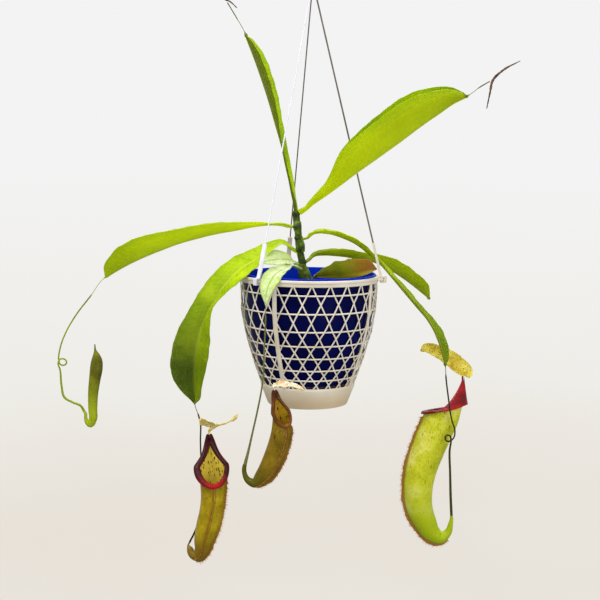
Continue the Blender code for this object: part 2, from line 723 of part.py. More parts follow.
def make_stem():
    """The woody stem with a ring of leaf scars at each joint."""
    points, _ = smooth_points([from_rim(*p) for p in STEM_ROUTE], 5.0 * MM)
    forward = tangents(points)
    forward[0] = Vector((0.0, 0.0, 1.0))
    rings = []
    for point, along in zip(points, forward):
        radius = stem_radius((point.z - RIM_CENTRE.z) / MM)
        ahead = (Vector((0.0, -1.0, 0.0)) - along * -along.y).normalized()
        side = along.cross(ahead)
        rings.append([point + (side * math.cos(a) + ahead * math.sin(a)) * radius * MM
                      for a in [2.0 * math.pi * k / 8 for k in range(8)]])
    loft("stem", rings, STEM)


def from_stem(height, direction, stalk):
    """The first two points of a leaf that grows out of the stem at a height, in a direction."""
    way = Vector(direction).normalized()
    flat = Vector((way.x, way.y, 0.0)).normalized()
    root = stem_centre(height) + flat * (stem_radius(height) + 1.5 * GAP + 0.85 * stalk * abs(way.z))
    return [tuple(root), tuple(root + way * 4.0)]


def make_leaves():
    """The leaves and their tendrils, and the places where tendrils end in pitchers."""
    ends = {}
    top = Vector(STEM_ROUTE[-1])
    along = (top - Vector(STEM_ROUTE[-2])).normalized()
    leaf(
        "leaf_upright", LEAF,
        [tuple(top + along * GAP), tuple(top + along * 5.0), (-21, 1, 98), (-28, 2, 130), (-40, 4, 172),
         (-56, 8, 222), (-74, 10, 269), (-86, 10, 290), (-96, 10, 306)],
        (3, 6), 22.0, 0.62, ((1.0, 0.0, 0.2), (1.0, -0.1, 0.3)), ((33.0, 38.0), (33.0, 38.0)),
        stalk=3.0, wave=1.0, blunt=0.6, seed=1)
    leaf(
        "leaf_large_right", LEAF,
        from_stem(68.0, (0.8, -0.25, 0.55), 2.8)
        + [(13, -12, 89), (31, -19, 102), (73, -34, 134), (120, -48, 170), (155, -58, 195),
           (169, -61, 202), (181, -64, 211), (191, -66, 217)],
        (1, 7), 41.0, 0.5, ((-0.4, -0.1, 1.0), (-0.5, -0.2, 1.0)), ((70.0, 65.0), (72.0, 65.0)),
        stalk=2.8, wave=0.8, blunt=0.9, seed=2)
    ends["left"] = leaf(
        "leaf_long_left", LEAF,
        from_stem(55.0, (-1.0, -0.1, 0.12), 2.4)
        + [(-33, -4, 57.5), (-60, -7, 56), (-111, -10, 46), (-150, -10, 35), (-185, -8, 21), (-215, -5, 6),
           (-234, -3, -6), (-256, -3, -32), (-271, -3, -56), (-284, -3, -77), (-289, -3, -92),
           (-286.5, -3, -105), (-280, -5, -111), (-274, -7, -105), (-280, -9, -99), (-287, -9, -105),
           (-287, -8, -115), (-285, -7, -136), (-280, -7, -149), (-271, -7, -155), (-262, -7, -158),
           (-258.5, -7, -168)],
        (3, 8), 30.0, 0.75, ((0.0, 0.0, 1.0), (0.2, 0.0, 1.0)), ((52.0, 50.0), (50.0, 50.0)),
        stalk=2.4, wave=1.2, blunt=0.35, tendril_end=1.4, seed=3)
    ends["front_left"] = leaf(
        "leaf_drooping_left", LEAF,
        from_stem(34.0, (-0.85, -0.45, 0.25), 2.6)
        + [(-31, -10, 37.5), (-47, -18, 29), (-62, -25, 18), (-85, -36, -6), (-103, -43, -34), (-119, -48, -62),
           (-127, -50, -96), (-127, -46, -143), (-123.5, -36, -159), (-122, -25, -173), (-122.5, -22, -190),
           (-124, -24, -214), (-123, -30, -247), (-123, -40, -270), (-127, -48, -289), (-132, -53, -302)],
        (2, 9), 28.0, 0.65, ((-0.1, -0.3, 0.95), (-0.25, -0.95, 0.1)), ((62.0, 20.0), (62.0, 20.0)),
        stalk=2.6, wave=0.8, blunt=0.55, seed=4)
    ends["right"] = leaf(
        "leaf_arching_right", LEAF,
        from_stem(41.0, (0.95, 0.0, 0.3), 2.4)
        + [(4, -3, 47), (23, 0, 48), (55, 5, 36), (83, 8, 12), (110, -2, -17), (136, -15, -49), (151, -24, -78),
           (156, -28, -99), (157, -29, -113), (160, -30, -135), (165, -31, -163), (168.5, -31, -177),
           (166.5, -30, -186), (162, -29, -190), (158.5, -27, -186), (161, -25, -181.5), (164.5, -24, -187),
           (164, -24, -199), (166, -18, -226), (168.5, -10, -258), (170.5, -6, -281)],
        (3, 9), 20.0, 0.6, ((0.0, 0.0, 1.0), (0.9, 0.2, 0.35)), ((22.0, 16.0), (25.0, 34.0)),
        stalk=2.4, wave=0.6, blunt=0.45, tendril_end=1.5, seed=5)
    leaf(
        "leaf_rear_right", LEAF,
        from_stem(14.0, (0.6, 0.6, 0.5), 2.2)
        + [(6, 12, 23), (18, 20, 24), (42, 33, 22), (65, 42, 16), (90, 47, 8), (107, 49, -3), (123, 50, -16),
           (138, 51, -26), (143, 51, -30), (145, 51, -33)],
        (3, 10), 24.0, 0.6, ((0.0, 0.0, 1.0), (0.3, 0.0, 1.0)), ((40.0, 45.0), (40.0, 45.0)),
        stalk=2.2, wave=0.6, blunt=0.5, seed=6)
    leaf(
        "leaf_old_right", OLD_LEAF,
        from_stem(-8.0, (0.7, -0.6, 0.4), 1.8)
        + [(8, -18, 0), (23, -36, 1), (40, -46, 2), (57, -45, 5), (70, -36, 9), (75, -31, 11)],
        (2, 7), 26.0, 0.55, ((0.0, 0.0, 1.0), (0.0, 0.1, 1.0)), ((60.0, 60.0), (60.0, 60.0)),
        stalk=1.8, wave=0.8, blunt=0.6, seed=7)
    ends["front"] = leaf(
        "leaf_pale_front", PALE_LEAF,
        from_stem(6.0, (-0.35, -0.9, 0.25), 1.8)
        + [(-21, -24, 12), (-31, -45, 11), (-40.5, -65, 6), (-46, -79, -7), (-48, -86, -23), (-47, -88, -42),
           (-48, -88, -75), (-50, -86, -113), (-54, -84, -135), (-61, -81, -165), (-67, -79, -195),
           (-71.5, -78, -216)],
        (2, 6), 10.5, 0.62, ((0.0, -0.2, 1.0), (-0.2, -1.0, 0.1)), ((20.0, 24.0), (20.0, 24.0)),
        stalk=1.8, wave=0.5, blunt=0.6, seed=8)
    leaf(
        "leaf_pale_left", PALE_LEAF,
        from_stem(20.0, (-0.8, -0.5, 0.35), 1.8)
        + [(-26, -16, 23), (-35, -25, 22), (-43, -33, 18), (-50, -41, 12)],
        (1, 5), 11.0, 0.55, ((-0.1, -0.5, 0.85), (-0.1, -0.6, 0.8)), ((22.0, 22.0), (22.0, 22.0)),
        stalk=1.8, wave=0.5, blunt=0.7, seed=9)
    dried_tip("dried_tip_upright", [(-102, 10, 315), (-98, 10, 309.5), (-93.5, 10, 307.4), (-85, 9, 300)],
              [0.4, 1.2, 1.0, 0.4])
    dried_tip("dried_tip_right", [(188.5, -66, 188), (191.5, -66.4, 205), (194, -66.4, 217.8), (205, -66, 229),
                                  (223, -66, 239)], [0.5, 1.1, 1.5, 1.2, 0.4])
    return ends


def make_pitchers(ends):
    pitcher(
        "pitcher_young", OLIVE_PITCHER, ends["left"],
        [(-258, -7, -174, 1.5), (-256, -7, -179.5, 1.7), (-252.2, -7, -180, 2.2), (-250.6, -7, -174, 3.2),
         (-250.5, -7, -164, 4.3),
         (-249.5, -7, -150, 5.2), (-247, -7, -130, 6.3), (-245, -7, -110, 7.3), (-244, -7, -98, 6.3),
         (-245, -7, -88, 3.4), (-245.5, -7, -79, 0.9)],
        (0.9, -0.4, 0.0), (0.0, 0.0, 0.0), wing=0.0, hollow=False, sides=10, tendril=1.4)

    mouth = pitcher(
        "pitcher_front_left", OLIVE_PITCHER, ends["front_left"],
        [(-132, -55, -309, 2.4), (-128, -59, -315, 3.6), (-122, -61, -316, 5.4), (-117.5, -62, -308, 8.2),
         (-115, -62, -296, 11.0), (-111, -62, -280, 12.8), (-107, -62, -262, 13.0), (-105, -62, -245, 13.5),
         (-105, -62, -228, 14.5), (-106, -62, -211, 15.0)],
        (0.15, -0.98, 0.1), (1.35, 0.5, 0.5))
    neck = lip("lip_front_left", RED_LIP, mouth, 5.0)
    add_lid("lid_front_left", LID, neck, [(-110.5, -38, -166.5), (-109, -41, -164.5), (-103, -60, -163.5), (-98, -80, -160)],
            17.0, ((0.0, 1.0, 0.2), (0.0, -0.3, 1.0)), (8.0, 14.0))

    mouth = pitcher(
        "pitcher_right", GREEN_PITCHER, ends["right"],
        [(170, -5, -291, 2.8), (167, -4, -302, 4.6), (159, -4, -308, 7.2), (149, -4, -303, 10.2), (140, -4, -289, 13.2),
         (133, -4, -272, 15.4), (131, -4, -251, 16.8), (134, -4, -227, 18.2), (140, -4, -207, 19.2),
         (147, -4, -188, 20.0), (153, -4, -172, 20.2), (157.5, -4, -156, 20.2)],
        (-0.93, 0.34, 0.0), (0.5, 0.35, 0.2), tendril=1.5)
    neck = lip("lip_right", RED_LIP, mouth, 24.0, lean=-0.7)
    add_lid("lid_right", LID, neck,
            [(184, -1, -108), (177, -3, -103), (162, -5, -97), (147, -6, -89), (131, -6, -84)], 11.0,
            ((1.0, 0.0, 0.2), (-0.2, -0.5, 0.85)), (20.0, 20.0))

    mouth = pitcher(
        "pitcher_front", BROWN_PITCHER, ends["front"],
        [(-71, -78.5, -224, 1.8), (-66.5, -80, -229, 3.2), (-59, -82, -226, 5.6), (-48.5, -83, -215, 8.6),
         (-40, -84, -201, 10.5), (-34.5, -85, -186, 11.2), (-30.5, -86, -170, 11.6), (-29, -87, -156, 11.4),
         (-29.5, -87.5, -143, 10.0)],
        (0.55, -0.8, 0.0), (1.4, 0.2, 0.35), wing=2.5, sides=12)
    neck = lip("lip_front", BROWN_PITCHER, mouth, 6.0, flare=2.8)
    add_lid("lid_front", DRIED, neck, [(-39, -76, -113), (-34, -80, -110), (-22, -88, -110), (-5, -96, -116)], 8.0,
            ((-1.0, 1.0, 0.2), (0.0, -0.4, 1.0)), (15.0, 5.0))


def add_lid(name, material, neck, places, half_width, facing, rises):
    """A pitcher's lid, a small blade that grows from the neck of the lip."""
    start, way = neck
    first = from_rim_back(start)
    second = from_rim_back(start + way * 3.0 * MM)
    leaf(name, material, [first, second] + places, (3, len(places) + 1), half_width, 0.5,
         facing, (rises, rises), stalk=1.1, wave=1.0, blunt=0.6, keel=0.4, spacing=8.0, seed=12)


make_basket()
make_liner_and_soil()
make_hanger()
make_stem()
tendril_ends = make_leaves()
make_pitchers(tendril_ends)
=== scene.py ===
import math
import random

import bmesh
import bpy
from mathutils import Matrix, Vector


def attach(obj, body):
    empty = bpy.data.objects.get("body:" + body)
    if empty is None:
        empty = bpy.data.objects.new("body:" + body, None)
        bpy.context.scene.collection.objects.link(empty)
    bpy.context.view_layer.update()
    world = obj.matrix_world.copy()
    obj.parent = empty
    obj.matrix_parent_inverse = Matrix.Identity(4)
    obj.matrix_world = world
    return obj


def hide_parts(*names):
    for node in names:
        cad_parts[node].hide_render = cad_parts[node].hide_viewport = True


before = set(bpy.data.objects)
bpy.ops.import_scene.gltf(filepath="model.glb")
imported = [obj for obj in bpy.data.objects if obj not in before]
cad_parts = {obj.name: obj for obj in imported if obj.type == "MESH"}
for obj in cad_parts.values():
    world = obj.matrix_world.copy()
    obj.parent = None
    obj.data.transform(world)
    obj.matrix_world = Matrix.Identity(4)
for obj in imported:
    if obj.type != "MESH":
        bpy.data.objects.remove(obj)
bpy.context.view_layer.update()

# Camera, backdrop and lamps.
# The camera looks a little down on the pot from 1.4 m in front of it, through a long lens.
# A pale round studio floor turns up into a wall on all sides, and large soft lamps light the plant evenly.
CAMERA_PLACE = (-0.0100, -1.3735, -0.2285)
CAMERA_LOOKS_DOWN = math.radians(6.65)
CAMERA_ROLL = math.radians(0.7)
CAMERA_LENS, CAMERA_SENSOR = 72.0, 36.0
FLOOR_LEVEL = -1.15
STUDIO_RADIUS = 3.2
STUDIO_CURVE = 1.6
STUDIO_WALL_TOP = 1.9
SKY_ABOVE, SKY_LEVEL, SKY_BELOW = 1.05, 0.5, 0.32
# name, place, what it looks at, width in metres, power in watts
LAMPS = [("key_lamp", (-0.9, -0.8, 1.8), (0.0, 0.0, -0.3), 1.2, 36.0),
         ("fill_lamp", (1.2, -1.9, -0.4), (0.0, 0.0, -0.25), 1.6, 14.0),
         ("back_lamp", (0.4, 1.6, 1.5), (0.0, 0.0, -0.3), 1.4, 30.0)]

camera_data = bpy.data.cameras.new("camera")
camera_data.lens = CAMERA_LENS
camera_data.sensor_width = CAMERA_SENSOR
camera = bpy.data.objects.new("camera", camera_data)
bpy.context.scene.collection.objects.link(camera)
camera.matrix_world = (Matrix.Translation(CAMERA_PLACE)
                       @ Matrix.Rotation(math.pi / 2 - CAMERA_LOOKS_DOWN, 4, "X")
                       @ Matrix.Rotation(CAMERA_ROLL, 4, "Z"))
bpy.context.scene.camera = camera
bpy.context.scene.view_settings.view_transform = "Standard"
bpy.context.scene.view_settings.look = "None"


def paint(red, green, blue):
    """A colour given in screen values from 0 to 255, as the light values that a shader takes."""
    return tuple((c / 255 / 12.92) if c <= 10 else ((c / 255 + 0.055) / 1.055) ** 2.4
                 for c in (red, green, blue)) + (1.0,)


def grey(value):
    return (value, value, value, 1.0)


def feed(node, feeds=None, **named):
    """Sets inputs of a node from plain values or sockets. A low line in a name stands for a space."""
    named = {name.replace("_", " "): value for name, value in named.items()}
    for name, value in {**(feeds or {}), **named}.items():
        if isinstance(value, bpy.types.NodeSocket):
            node.id_data.links.new(value, node.inputs[name])
        else:
            node.inputs[name].default_value = value
    return node


def put(where, kind, feeds=None, **settings):
    """A new node in a tree, or in the tree that a socket belongs to, with its settings and inputs."""
    tree = where.id_data if isinstance(where, bpy.types.NodeSocket) else where
    node = tree.nodes.new(kind)
    for name, value in settings.items():
        setattr(node, name, value)
    return feed(node, feeds)


def output_of(where, kind, feeds=None, out=0, **settings):
    """The first output of a new node, or the one that is named."""
    return put(where, kind, feeds, **settings).outputs[out]


def socket_among(*values):
    return next(value for value in values if isinstance(value, bpy.types.NodeSocket))


def finish_named(name, roughness, **constants):
    """A new material, its shader with its plain values set, and the socket of places on the object."""
    material = bpy.data.materials.new(name)
    material.use_nodes = True
    shader = feed(material.node_tree.nodes["Principled BSDF"], Roughness=roughness, **constants)
    return material, shader, output_of(material.node_tree, "ShaderNodeTexCoord", out="Object")


def ramp(factor, *stops):
    """A colour that runs through the given (place, colour) stops as the factor goes from 0 to 1."""
    node = put(factor, "ShaderNodeValToRGB", {"Fac": factor})
    elements = node.color_ramp.elements
    while len(elements) < len(stops):
        elements.new(0.5)
    for element, (place, colour) in zip(elements, stops):
        element.position = place
        element.color = colour
    return node.outputs["Color"]


def reckon(operation, first, second=0.0):
    """One number from one or two others."""
    return output_of(socket_among(first, second), "ShaderNodeMath", {0: first, 1: second},
                     operation=operation)


def times(first, second):
    return reckon("MULTIPLY", first, second)


def plus(first, second):
    return reckon("ADD", first, second)


def spread(value, low, high, to_low=0.0, to_high=1.0):
    """A number moved from one range to another, and held inside it."""
    return output_of(value, "ShaderNodeMapRange", {
        "Value": value, "From Min": low, "From Max": high, "To Min": to_low, "To Max": to_high})


def noise(place, scale, detail=3.0):
    return output_of(place, "ShaderNodeTexNoise", {
        "Vector": place, "Scale": scale, "Detail": detail, "Roughness": 0.55}, "Fac")


def height_of(place):
    return output_of(place, "ShaderNodeSeparateXYZ", {0: place}, "Z")


def new_object(name, mesh, material=None):
    thing = bpy.data.objects.new(name, mesh)
    bpy.context.scene.collection.objects.link(thing)
    if material is not None:
        mesh.materials.clear()
        mesh.materials.append(material)
    return thing


def mesh_of(name, bm, sharp_angle=None):
    """The plain mesh of a bmesh, with its normals turned outwards and its faces smooth."""
    bmesh.ops.remove_doubles(bm, verts=bm.verts, dist=0.000002)
    bmesh.ops.recalc_face_normals(bm, faces=bm.faces)
    mesh = bpy.data.meshes.new(name)
    bm.to_mesh(mesh)
    bm.free()
    mesh.shade_smooth()
    if sharp_angle is not None:
        mesh.set_sharp_from_angle(angle=math.radians(sharp_angle))
    return mesh


def skinned(bm, rings, closed=False, caps=True):
    """Faces between rings of vertices: with flat ends, or on from the last ring to the first."""
    for lower, upper in zip(rings, rings[1:] + (rings[:1] if closed else [])):
        for k in range(len(lower)):
            n = (k + 1) % len(lower)
            corners = list(dict.fromkeys((lower[k], lower[n], upper[n], upper[k])))
            if len(corners) > 2:
                bm.faces.new(corners)
    if caps and not closed:
        bm.faces.new(rings[0])
        bm.faces.new(rings[-1])
    return bm


def turned_mesh(name, profile, steps, closed=False, sharp_angle=30.0):
    """A body turned round the pot's axis from (radius, height) points in metres."""
    bm = bmesh.new()
    turns = [2 * math.pi * k / steps for k in range(steps)]
    rings = [[bm.verts.new((0.0, 0.0, height))] * steps if radius < 1e-6 else
             [bm.verts.new((radius * math.sin(a), -radius * math.cos(a), height)) for a in turns]
             for radius, height in profile]
    return mesh_of(name, skinned(bm, rings, closed, caps=False), sharp_angle)


for lamp_name, place, target, width, power in LAMPS:
    lamp_data = bpy.data.lights.new(lamp_name, "AREA")
    lamp_data.shape = "DISK"
    lamp_data.size = width
    lamp_data.energy = power
    lamp = bpy.data.objects.new(lamp_name, lamp_data)
    bpy.context.scene.collection.objects.link(lamp)
    lamp.location = place
    lamp.rotation_euler = (Vector(target) - Vector(place)).to_track_quat("-Z", "Y").to_euler()
    lamp.visible_camera = False

world = bpy.data.worlds.new("studio_light")
bpy.context.scene.world = world
world.use_nodes = True
sky_height = height_of(output_of(world.node_tree, "ShaderNodeTexCoord", out="Generated"))
feed(world.node_tree.nodes["Background"], Strength=1.0, Color=ramp(
    spread(sky_height, -1.0, 1.0), (0.0, grey(SKY_BELOW)), (0.45, grey(SKY_LEVEL)), (0.8, grey(SKY_ABOVE))))

studio_profile = [(0.0, FLOOR_LEVEL), (STUDIO_RADIUS - STUDIO_CURVE, FLOOR_LEVEL)]
for step in range(1, 13):
    turn = math.pi / 2 * step / 12
    studio_profile.append((STUDIO_RADIUS - STUDIO_CURVE + STUDIO_CURVE * math.sin(turn),
                           FLOOR_LEVEL + STUDIO_CURVE * (1 - math.cos(turn))))
studio_profile.append((STUDIO_RADIUS, STUDIO_WALL_TOP))
STUDIO_PAINT, studio_shader, studio_place = finish_named(
    "studio_paint", 1.0, Base_Color=grey(0.0), Specular_IOR_Level=0.0, Emission_Strength=1.0)
studio_level = plus(height_of(studio_place), times(noise(studio_place, 0.8), 0.3))
feed(studio_shader, Emission_Color=ramp(
    spread(studio_level, -1.1, 0.5),
    (0.0, paint(230, 223, 213)), (0.2, paint(239, 237, 232)), (0.6, paint(243, 243, 243))))
studio = new_object("studio", turned_mesh("studio", studio_profile, 96, sharp_angle=180.0), STUDIO_PAINT)
studio.data.flip_normals()
# the backdrop glows evenly by itself, so that the lamps and the sky alone shade the plant
studio.visible_diffuse = studio.visible_glossy = studio.visible_transmission = studio.visible_shadow = False

# Basket pot.
# The outer pot is moulded in ivory plastic as an open hexagon weave between a rim band and a base ring.
# Four flat ribs stiffen it, and three tabs on the rim take the hanger's clips.
MM = 0.001
RIM_LEVEL = -0.359
POT_HEIGHT = 148.5
RIM_RADIUS = 80.5
RIM_BAND = 7.0
BASE_BAND = 23.0
# radius of the woven wall at heights above the foot, in millimetres
WALL_PROFILE = [(0.0, 46.0), (20.0, 53.0), (40.0, 60.5), (62.0, 67.5), (85.5, 74.0), (107.5, 78.0),
                (148.5, 79.6)]
# heights of the level bars above the foot
BAR_HEIGHTS = [23.5, 34.6, 46.2, 60.5, 75.0, 91.5, 111.7, 132.1]
TOP_HALF_ROW = 143.5
COLUMNS = 24
WEAVE_TURN = 2.0
WEAVE_STEPS = 8
POT_SIDES = 144
STRIP_WIDTH, STRIP_DEPTH = 1.7, 1.2
# a strip's section, in shares of its width and depth
STRIP_SECTION = [(-0.5, -0.2), (-0.5, 0.2), (-0.3, 0.5), (0.3, 0.5), (0.5, 0.2), (0.5, -0.2), (0.3, -0.5),
                 (-0.3, -0.5)]
OVER_UNDER = 0.3
LEANING_WIDTH = STRIP_WIDTH * 0.95
HALF_ROW_BELOW = 11.0
RIB_ANGLES = [-29.0, 61.0, 151.0, 241.0]
RIB_WIDTH, RIB_DEPTH, RIB_INSET = 5.2, 1.9, 0.3
LUG_ANGLES = [-42.0, 78.0, 198.0]
LUG_WIDTH, LUG_REACH, LUG_TOP, LUG_DEPTH = 9.0, 87.0, -1.0, 3.0


def between(pairs, value):
    """The second number of the pairs at a first number, on straight lines between them."""
    for (a, va), (b, vb) in zip(pairs, pairs[1:]):
        if value <= b:
            return va + (vb - va) * (value - a) / (b - a)
    return pairs[-1][1]


def level(height):
    """The level in metres of a height above the foot in millimetres."""
    return RIM_LEVEL + (height - POT_HEIGHT) * MM


def wall_point(degrees, height, outset=0.0):
    """A point of the pot's wall at an angle from the front and a height above the foot."""
    radius = (between(WALL_PROFILE, height) + outset) * MM
    angle = math.radians(degrees)
    return Vector((radius * math.sin(angle), -radius * math.cos(angle), level(height)))


def outward(degrees):
    return Vector((math.sin(math.radians(degrees)), -math.cos(math.radians(degrees)), 0.0))


def strip_mesh(name, places, width, depth, closed=False):
    """A flat strip with rounded edges along (point, outward direction) places, in millimetres across."""
    bm = bmesh.new()
    rings = []
    for i, (point, out) in enumerate(places):
        before = places[i - 1][0] if i > 0 or closed else point
        after = places[(i + 1) % len(places)][0] if i < len(places) - 1 or closed else point
        along = (after - before).normalized()
        out = (out - along * out.dot(along)).normalized()
        side = along.cross(out)
        rings.append([bm.verts.new(point + side * (x * width * MM) + out * (y * depth * MM))
                      for x, y in STRIP_SECTION])
    return mesh_of(name, skinned(bm, rings, closed), 50.0)


def geometry_tree(name, result, **inputs):
    """A tree with named inputs of the given kinds and one named result, and the sockets of its inputs."""
    tree = bpy.data.node_groups.new(name, "GeometryNodeTree")
    for socket, kind in inputs.items():
        tree.interface.new_socket(socket, in_out="INPUT", socket_type=f"NodeSocket{kind}")
    tree.interface.new_socket(result, in_out="OUTPUT", socket_type="NodeSocketGeometry")
    return tree, put(tree, "NodeGroupInput").outputs


def ended(tree, geometry, finish):
    """The tree, ended by making its instances real and giving them their finish."""
    real = output_of(tree, "GeometryNodeRealizeInstances", {0: geometry})
    put(tree, "NodeGroupOutput", {
        0: output_of(tree, "GeometryNodeSetMaterial", {"Geometry": real, "Material": finish})})
    return tree


def repeat_tree():
    """A tree that repeats a mesh round the pot's axis. It takes the mesh, the count and the finish."""
    tree, given = geometry_tree("repeat_round_pot", "Mesh", Mesh="Geometry", Count="Int", Finish="Material")
    share = reckon("DIVIDE", 2 * math.pi, given["Count"])
    turn = times(output_of(tree, "GeometryNodeInputIndex"), share)
    return ended(tree, output_of(tree, "GeometryNodeInstanceOnPoints", {
        "Points": output_of(tree, "GeometryNodePoints", {"Count": given["Count"]}),
        "Instance": given["Mesh"],
        "Rotation": output_of(tree, "FunctionNodeEulerToRotation", {
            0: output_of(tree, "ShaderNodeCombineXYZ", {"Z": turn})})}), given["Finish"])


def made_by(tree, source, **values):
    """The plain mesh that a tree makes from a mesh, with the tree's named inputs set."""
    host = new_object("source", source)
    modifier = host.modifiers.new("made", "NODES")
    modifier.node_group = tree
    for item in tree.interface.items_tree:
        if item.name in values:
            modifier[item.identifier] = values[item.name]
    depsgraph = bpy.context.evaluated_depsgraph_get()
    depsgraph.update()
    mesh = bpy.data.meshes.new_from_object(host.evaluated_get(depsgraph))
    bpy.data.objects.remove(host, do_unlink=True)
    return mesh


def joined(name, meshes, material=None):
    """One object from several meshes, each with its own finish or all with one."""
    things = [new_object(f"{name}_{i}", mesh, material) for i, mesh in enumerate(meshes)]
    with bpy.context.temp_override(active_object=things[0], selected_editable_objects=things):
        bpy.ops.object.join()
    things[0].name = name
    things[0].data.name = name
    return things[0]


def placed(thing, slot, *nodes):
    """The piece rides on the plant and stands for the CAD nodes, which it hides; the slot is not used."""
    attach(thing, "root")
    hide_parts(*nodes)


def mixed(factor, first, second):
    """The second colour over the first by a factor."""
    return output_of(socket_among(factor, first, second), "ShaderNodeMix",
                     {0: factor, 6: first, 7: second}, 2, data_type="RGBA")


def bumped(shader, height, strength, distance):
    """Gives a shader a fine relief from a height, with its depth in metres."""
    feed(shader, Normal=output_of(height, "ShaderNodeBump", {
        "Height": height, "Strength": strength, "Distance": distance}))


IVORY, ivory_shader, ivory_place = finish_named("ivory_plastic", 0.4, Specular_IOR_Level=0.3)
ivory_skin = ramp(noise(ivory_place, 22.0), (0.3, paint(212, 200, 174)), (0.7, paint(234, 226, 210)))
# the ivory turns tan towards the bottom of the base ring
tan_towards_foot = spread(height_of(ivory_place), level(BASE_BAND + 4.0), level(6.0), 0.0, 0.8)
feed(ivory_shader, Base_Color=mixed(tan_towards_foot, ivory_skin, paint(206, 182, 140)))
bumped(ivory_shader, noise(ivory_place, 900.0), 0.15, 0.0002)

row_heights = [(float(row), height) for row, height in enumerate(BAR_HEIGHTS)] + [(7.5, TOP_HALF_ROW)]
column_turn = 360.0 / COLUMNS
weave_inset = -STRIP_DEPTH / 2 - OVER_UNDER
round_pot = repeat_tree()


def leaning_strip(lean):
    """One strip of the weave that climbs to the right or the left, over and under what it crosses."""
    places = []
    for i in range(-2, int(7.5 * WEAVE_STEPS) + 1):
        row = i / WEAVE_STEPS
        height = between(row_heights, row) if row >= 0 else BAR_HEIGHTS[0] + row * HALF_ROW_BELOW
        degrees = WEAVE_TURN + lean * (column_turn / 4 + column_turn / 2 * row)
        offset = lean * OVER_UNDER * math.cos(2 * math.pi * row)
        places.append((wall_point(degrees, height, offset + weave_inset), outward(degrees)))
    return strip_mesh("strip", places, LEANING_WIDTH, STRIP_DEPTH)


def level_strip(row):
    """A level bar round the whole pot, which passes under the strips of one lean and over the others."""
    places = []
    for i in range(WEAVE_STEPS * COLUMNS):
        degrees = WEAVE_TURN + column_turn * (row / 2 + i / WEAVE_STEPS)
        offset = -OVER_UNDER * math.sin(2 * math.pi * i / WEAVE_STEPS)
        places.append((wall_point(degrees, BAR_HEIGHTS[row], offset + weave_inset), outward(degrees)))
    return strip_mesh("bar", places, STRIP_WIDTH, STRIP_DEPTH, closed=True)


def rib_mesh(degrees):
    places = [(wall_point(degrees, height, -RIB_INSET), outward(degrees))
              for height in [BASE_BAND - 6.0] + BAR_HEIGHTS[:7] + [122.0, POT_HEIGHT - RIM_BAND]]
    return strip_mesh("rib", places, RIB_WIDTH, RIB_DEPTH)


def plate_bmesh(corners, thickness, rounding):
    """A flat plate through corners that grows along a thickness direction, with rounded edges."""
    bm = bmesh.new()
    face = bm.faces.new([bm.verts.new(corner) for corner in corners])
    grown = bmesh.ops.extrude_face_region(bm, geom=[face])["geom"]
    bmesh.ops.translate(bm, verts=[v for v in grown if isinstance(v, bmesh.types.BMVert)], vec=thickness)
    bmesh.ops.bevel(bm, geom=list(bm.edges), offset=rounding * MM, segments=2, affect="EDGES")
    return bm


def lug_mesh(degrees):
    """A tab with a rounded end that stands out of the rim."""
    half = LUG_WIDTH / 2
    outline = [(-half, RIM_RADIUS - 2.0), (-half, LUG_REACH - 2.5), (-half + 0.8, LUG_REACH - 0.8),
               (-half + 2.5, LUG_REACH), (half - 2.5, LUG_REACH), (half - 0.8, LUG_REACH - 0.8),
               (half, LUG_REACH - 2.5), (half, RIM_RADIUS - 2.0)]
    lug_floor = RIM_LEVEL + (LUG_TOP - LUG_DEPTH) * MM
    bm = plate_bmesh([(x * MM, -y * MM, lug_floor) for x, y in outline], (0.0, 0.0, LUG_DEPTH * MM), 0.45)
    bmesh.ops.rotate(bm, verts=bm.verts, matrix=Matrix.Rotation(math.radians(degrees), 3, "Z"))
    return mesh_of("lug", bm, 50.0)


rim_inner = RIM_RADIUS - 3.4
rim_profile = [(rim_inner, -RIM_BAND), (rim_inner, -0.6), (rim_inner + 0.5, 0.0), (RIM_RADIUS - 1.0, 0.0),
               (RIM_RADIUS - 0.2, -0.4), (RIM_RADIUS, -1.2), (RIM_RADIUS - 0.1, -2.6),
               (RIM_RADIUS - 0.6, -3.2), (RIM_RADIUS - 1.0, -3.5), (RIM_RADIUS - 1.1, -6.4),
               (RIM_RADIUS - 1.5, -RIM_BAND)]
foot_rim = between(WALL_PROFILE, BASE_BAND)
base_profile = [(0.0, 6.2), (foot_rim - 10.4, 6.2), (foot_rim - 2.2, BASE_BAND),
                (foot_rim - 0.4, BASE_BAND + 1.6), (foot_rim + 0.2, BASE_BAND + 1.5),
                (foot_rim + 0.5, BASE_BAND + 0.6), (foot_rim + 0.3, BASE_BAND - 1.6), (46.6, 1.0),
                (46.1, 0.1), (45.2, 0.0), (42.4, 0.0), (42.0, 0.5), (41.5, 4.0), (0.0, 4.0)]
basket_meshes = [
    made_by(round_pot, leaning_strip(1), Count=COLUMNS, Finish=IVORY),
    made_by(round_pot, leaning_strip(-1), Count=COLUMNS, Finish=IVORY),
    turned_mesh("rim", [(r * MM, RIM_LEVEL + z * MM) for r, z in rim_profile], POT_SIDES,
                closed=True),
    turned_mesh("base", [(r * MM, level(z)) for r, z in base_profile], POT_SIDES)]
basket_meshes += [level_strip(row) for row in range(1, len(BAR_HEIGHTS))]
basket_meshes += [rib_mesh(degrees) for degrees in RIB_ANGLES]
basket_meshes += [lug_mesh(degrees) for degrees in LUG_ANGLES]
placed(joined("woven_basket", basket_meshes, IVORY), "white_plastic", "basket")

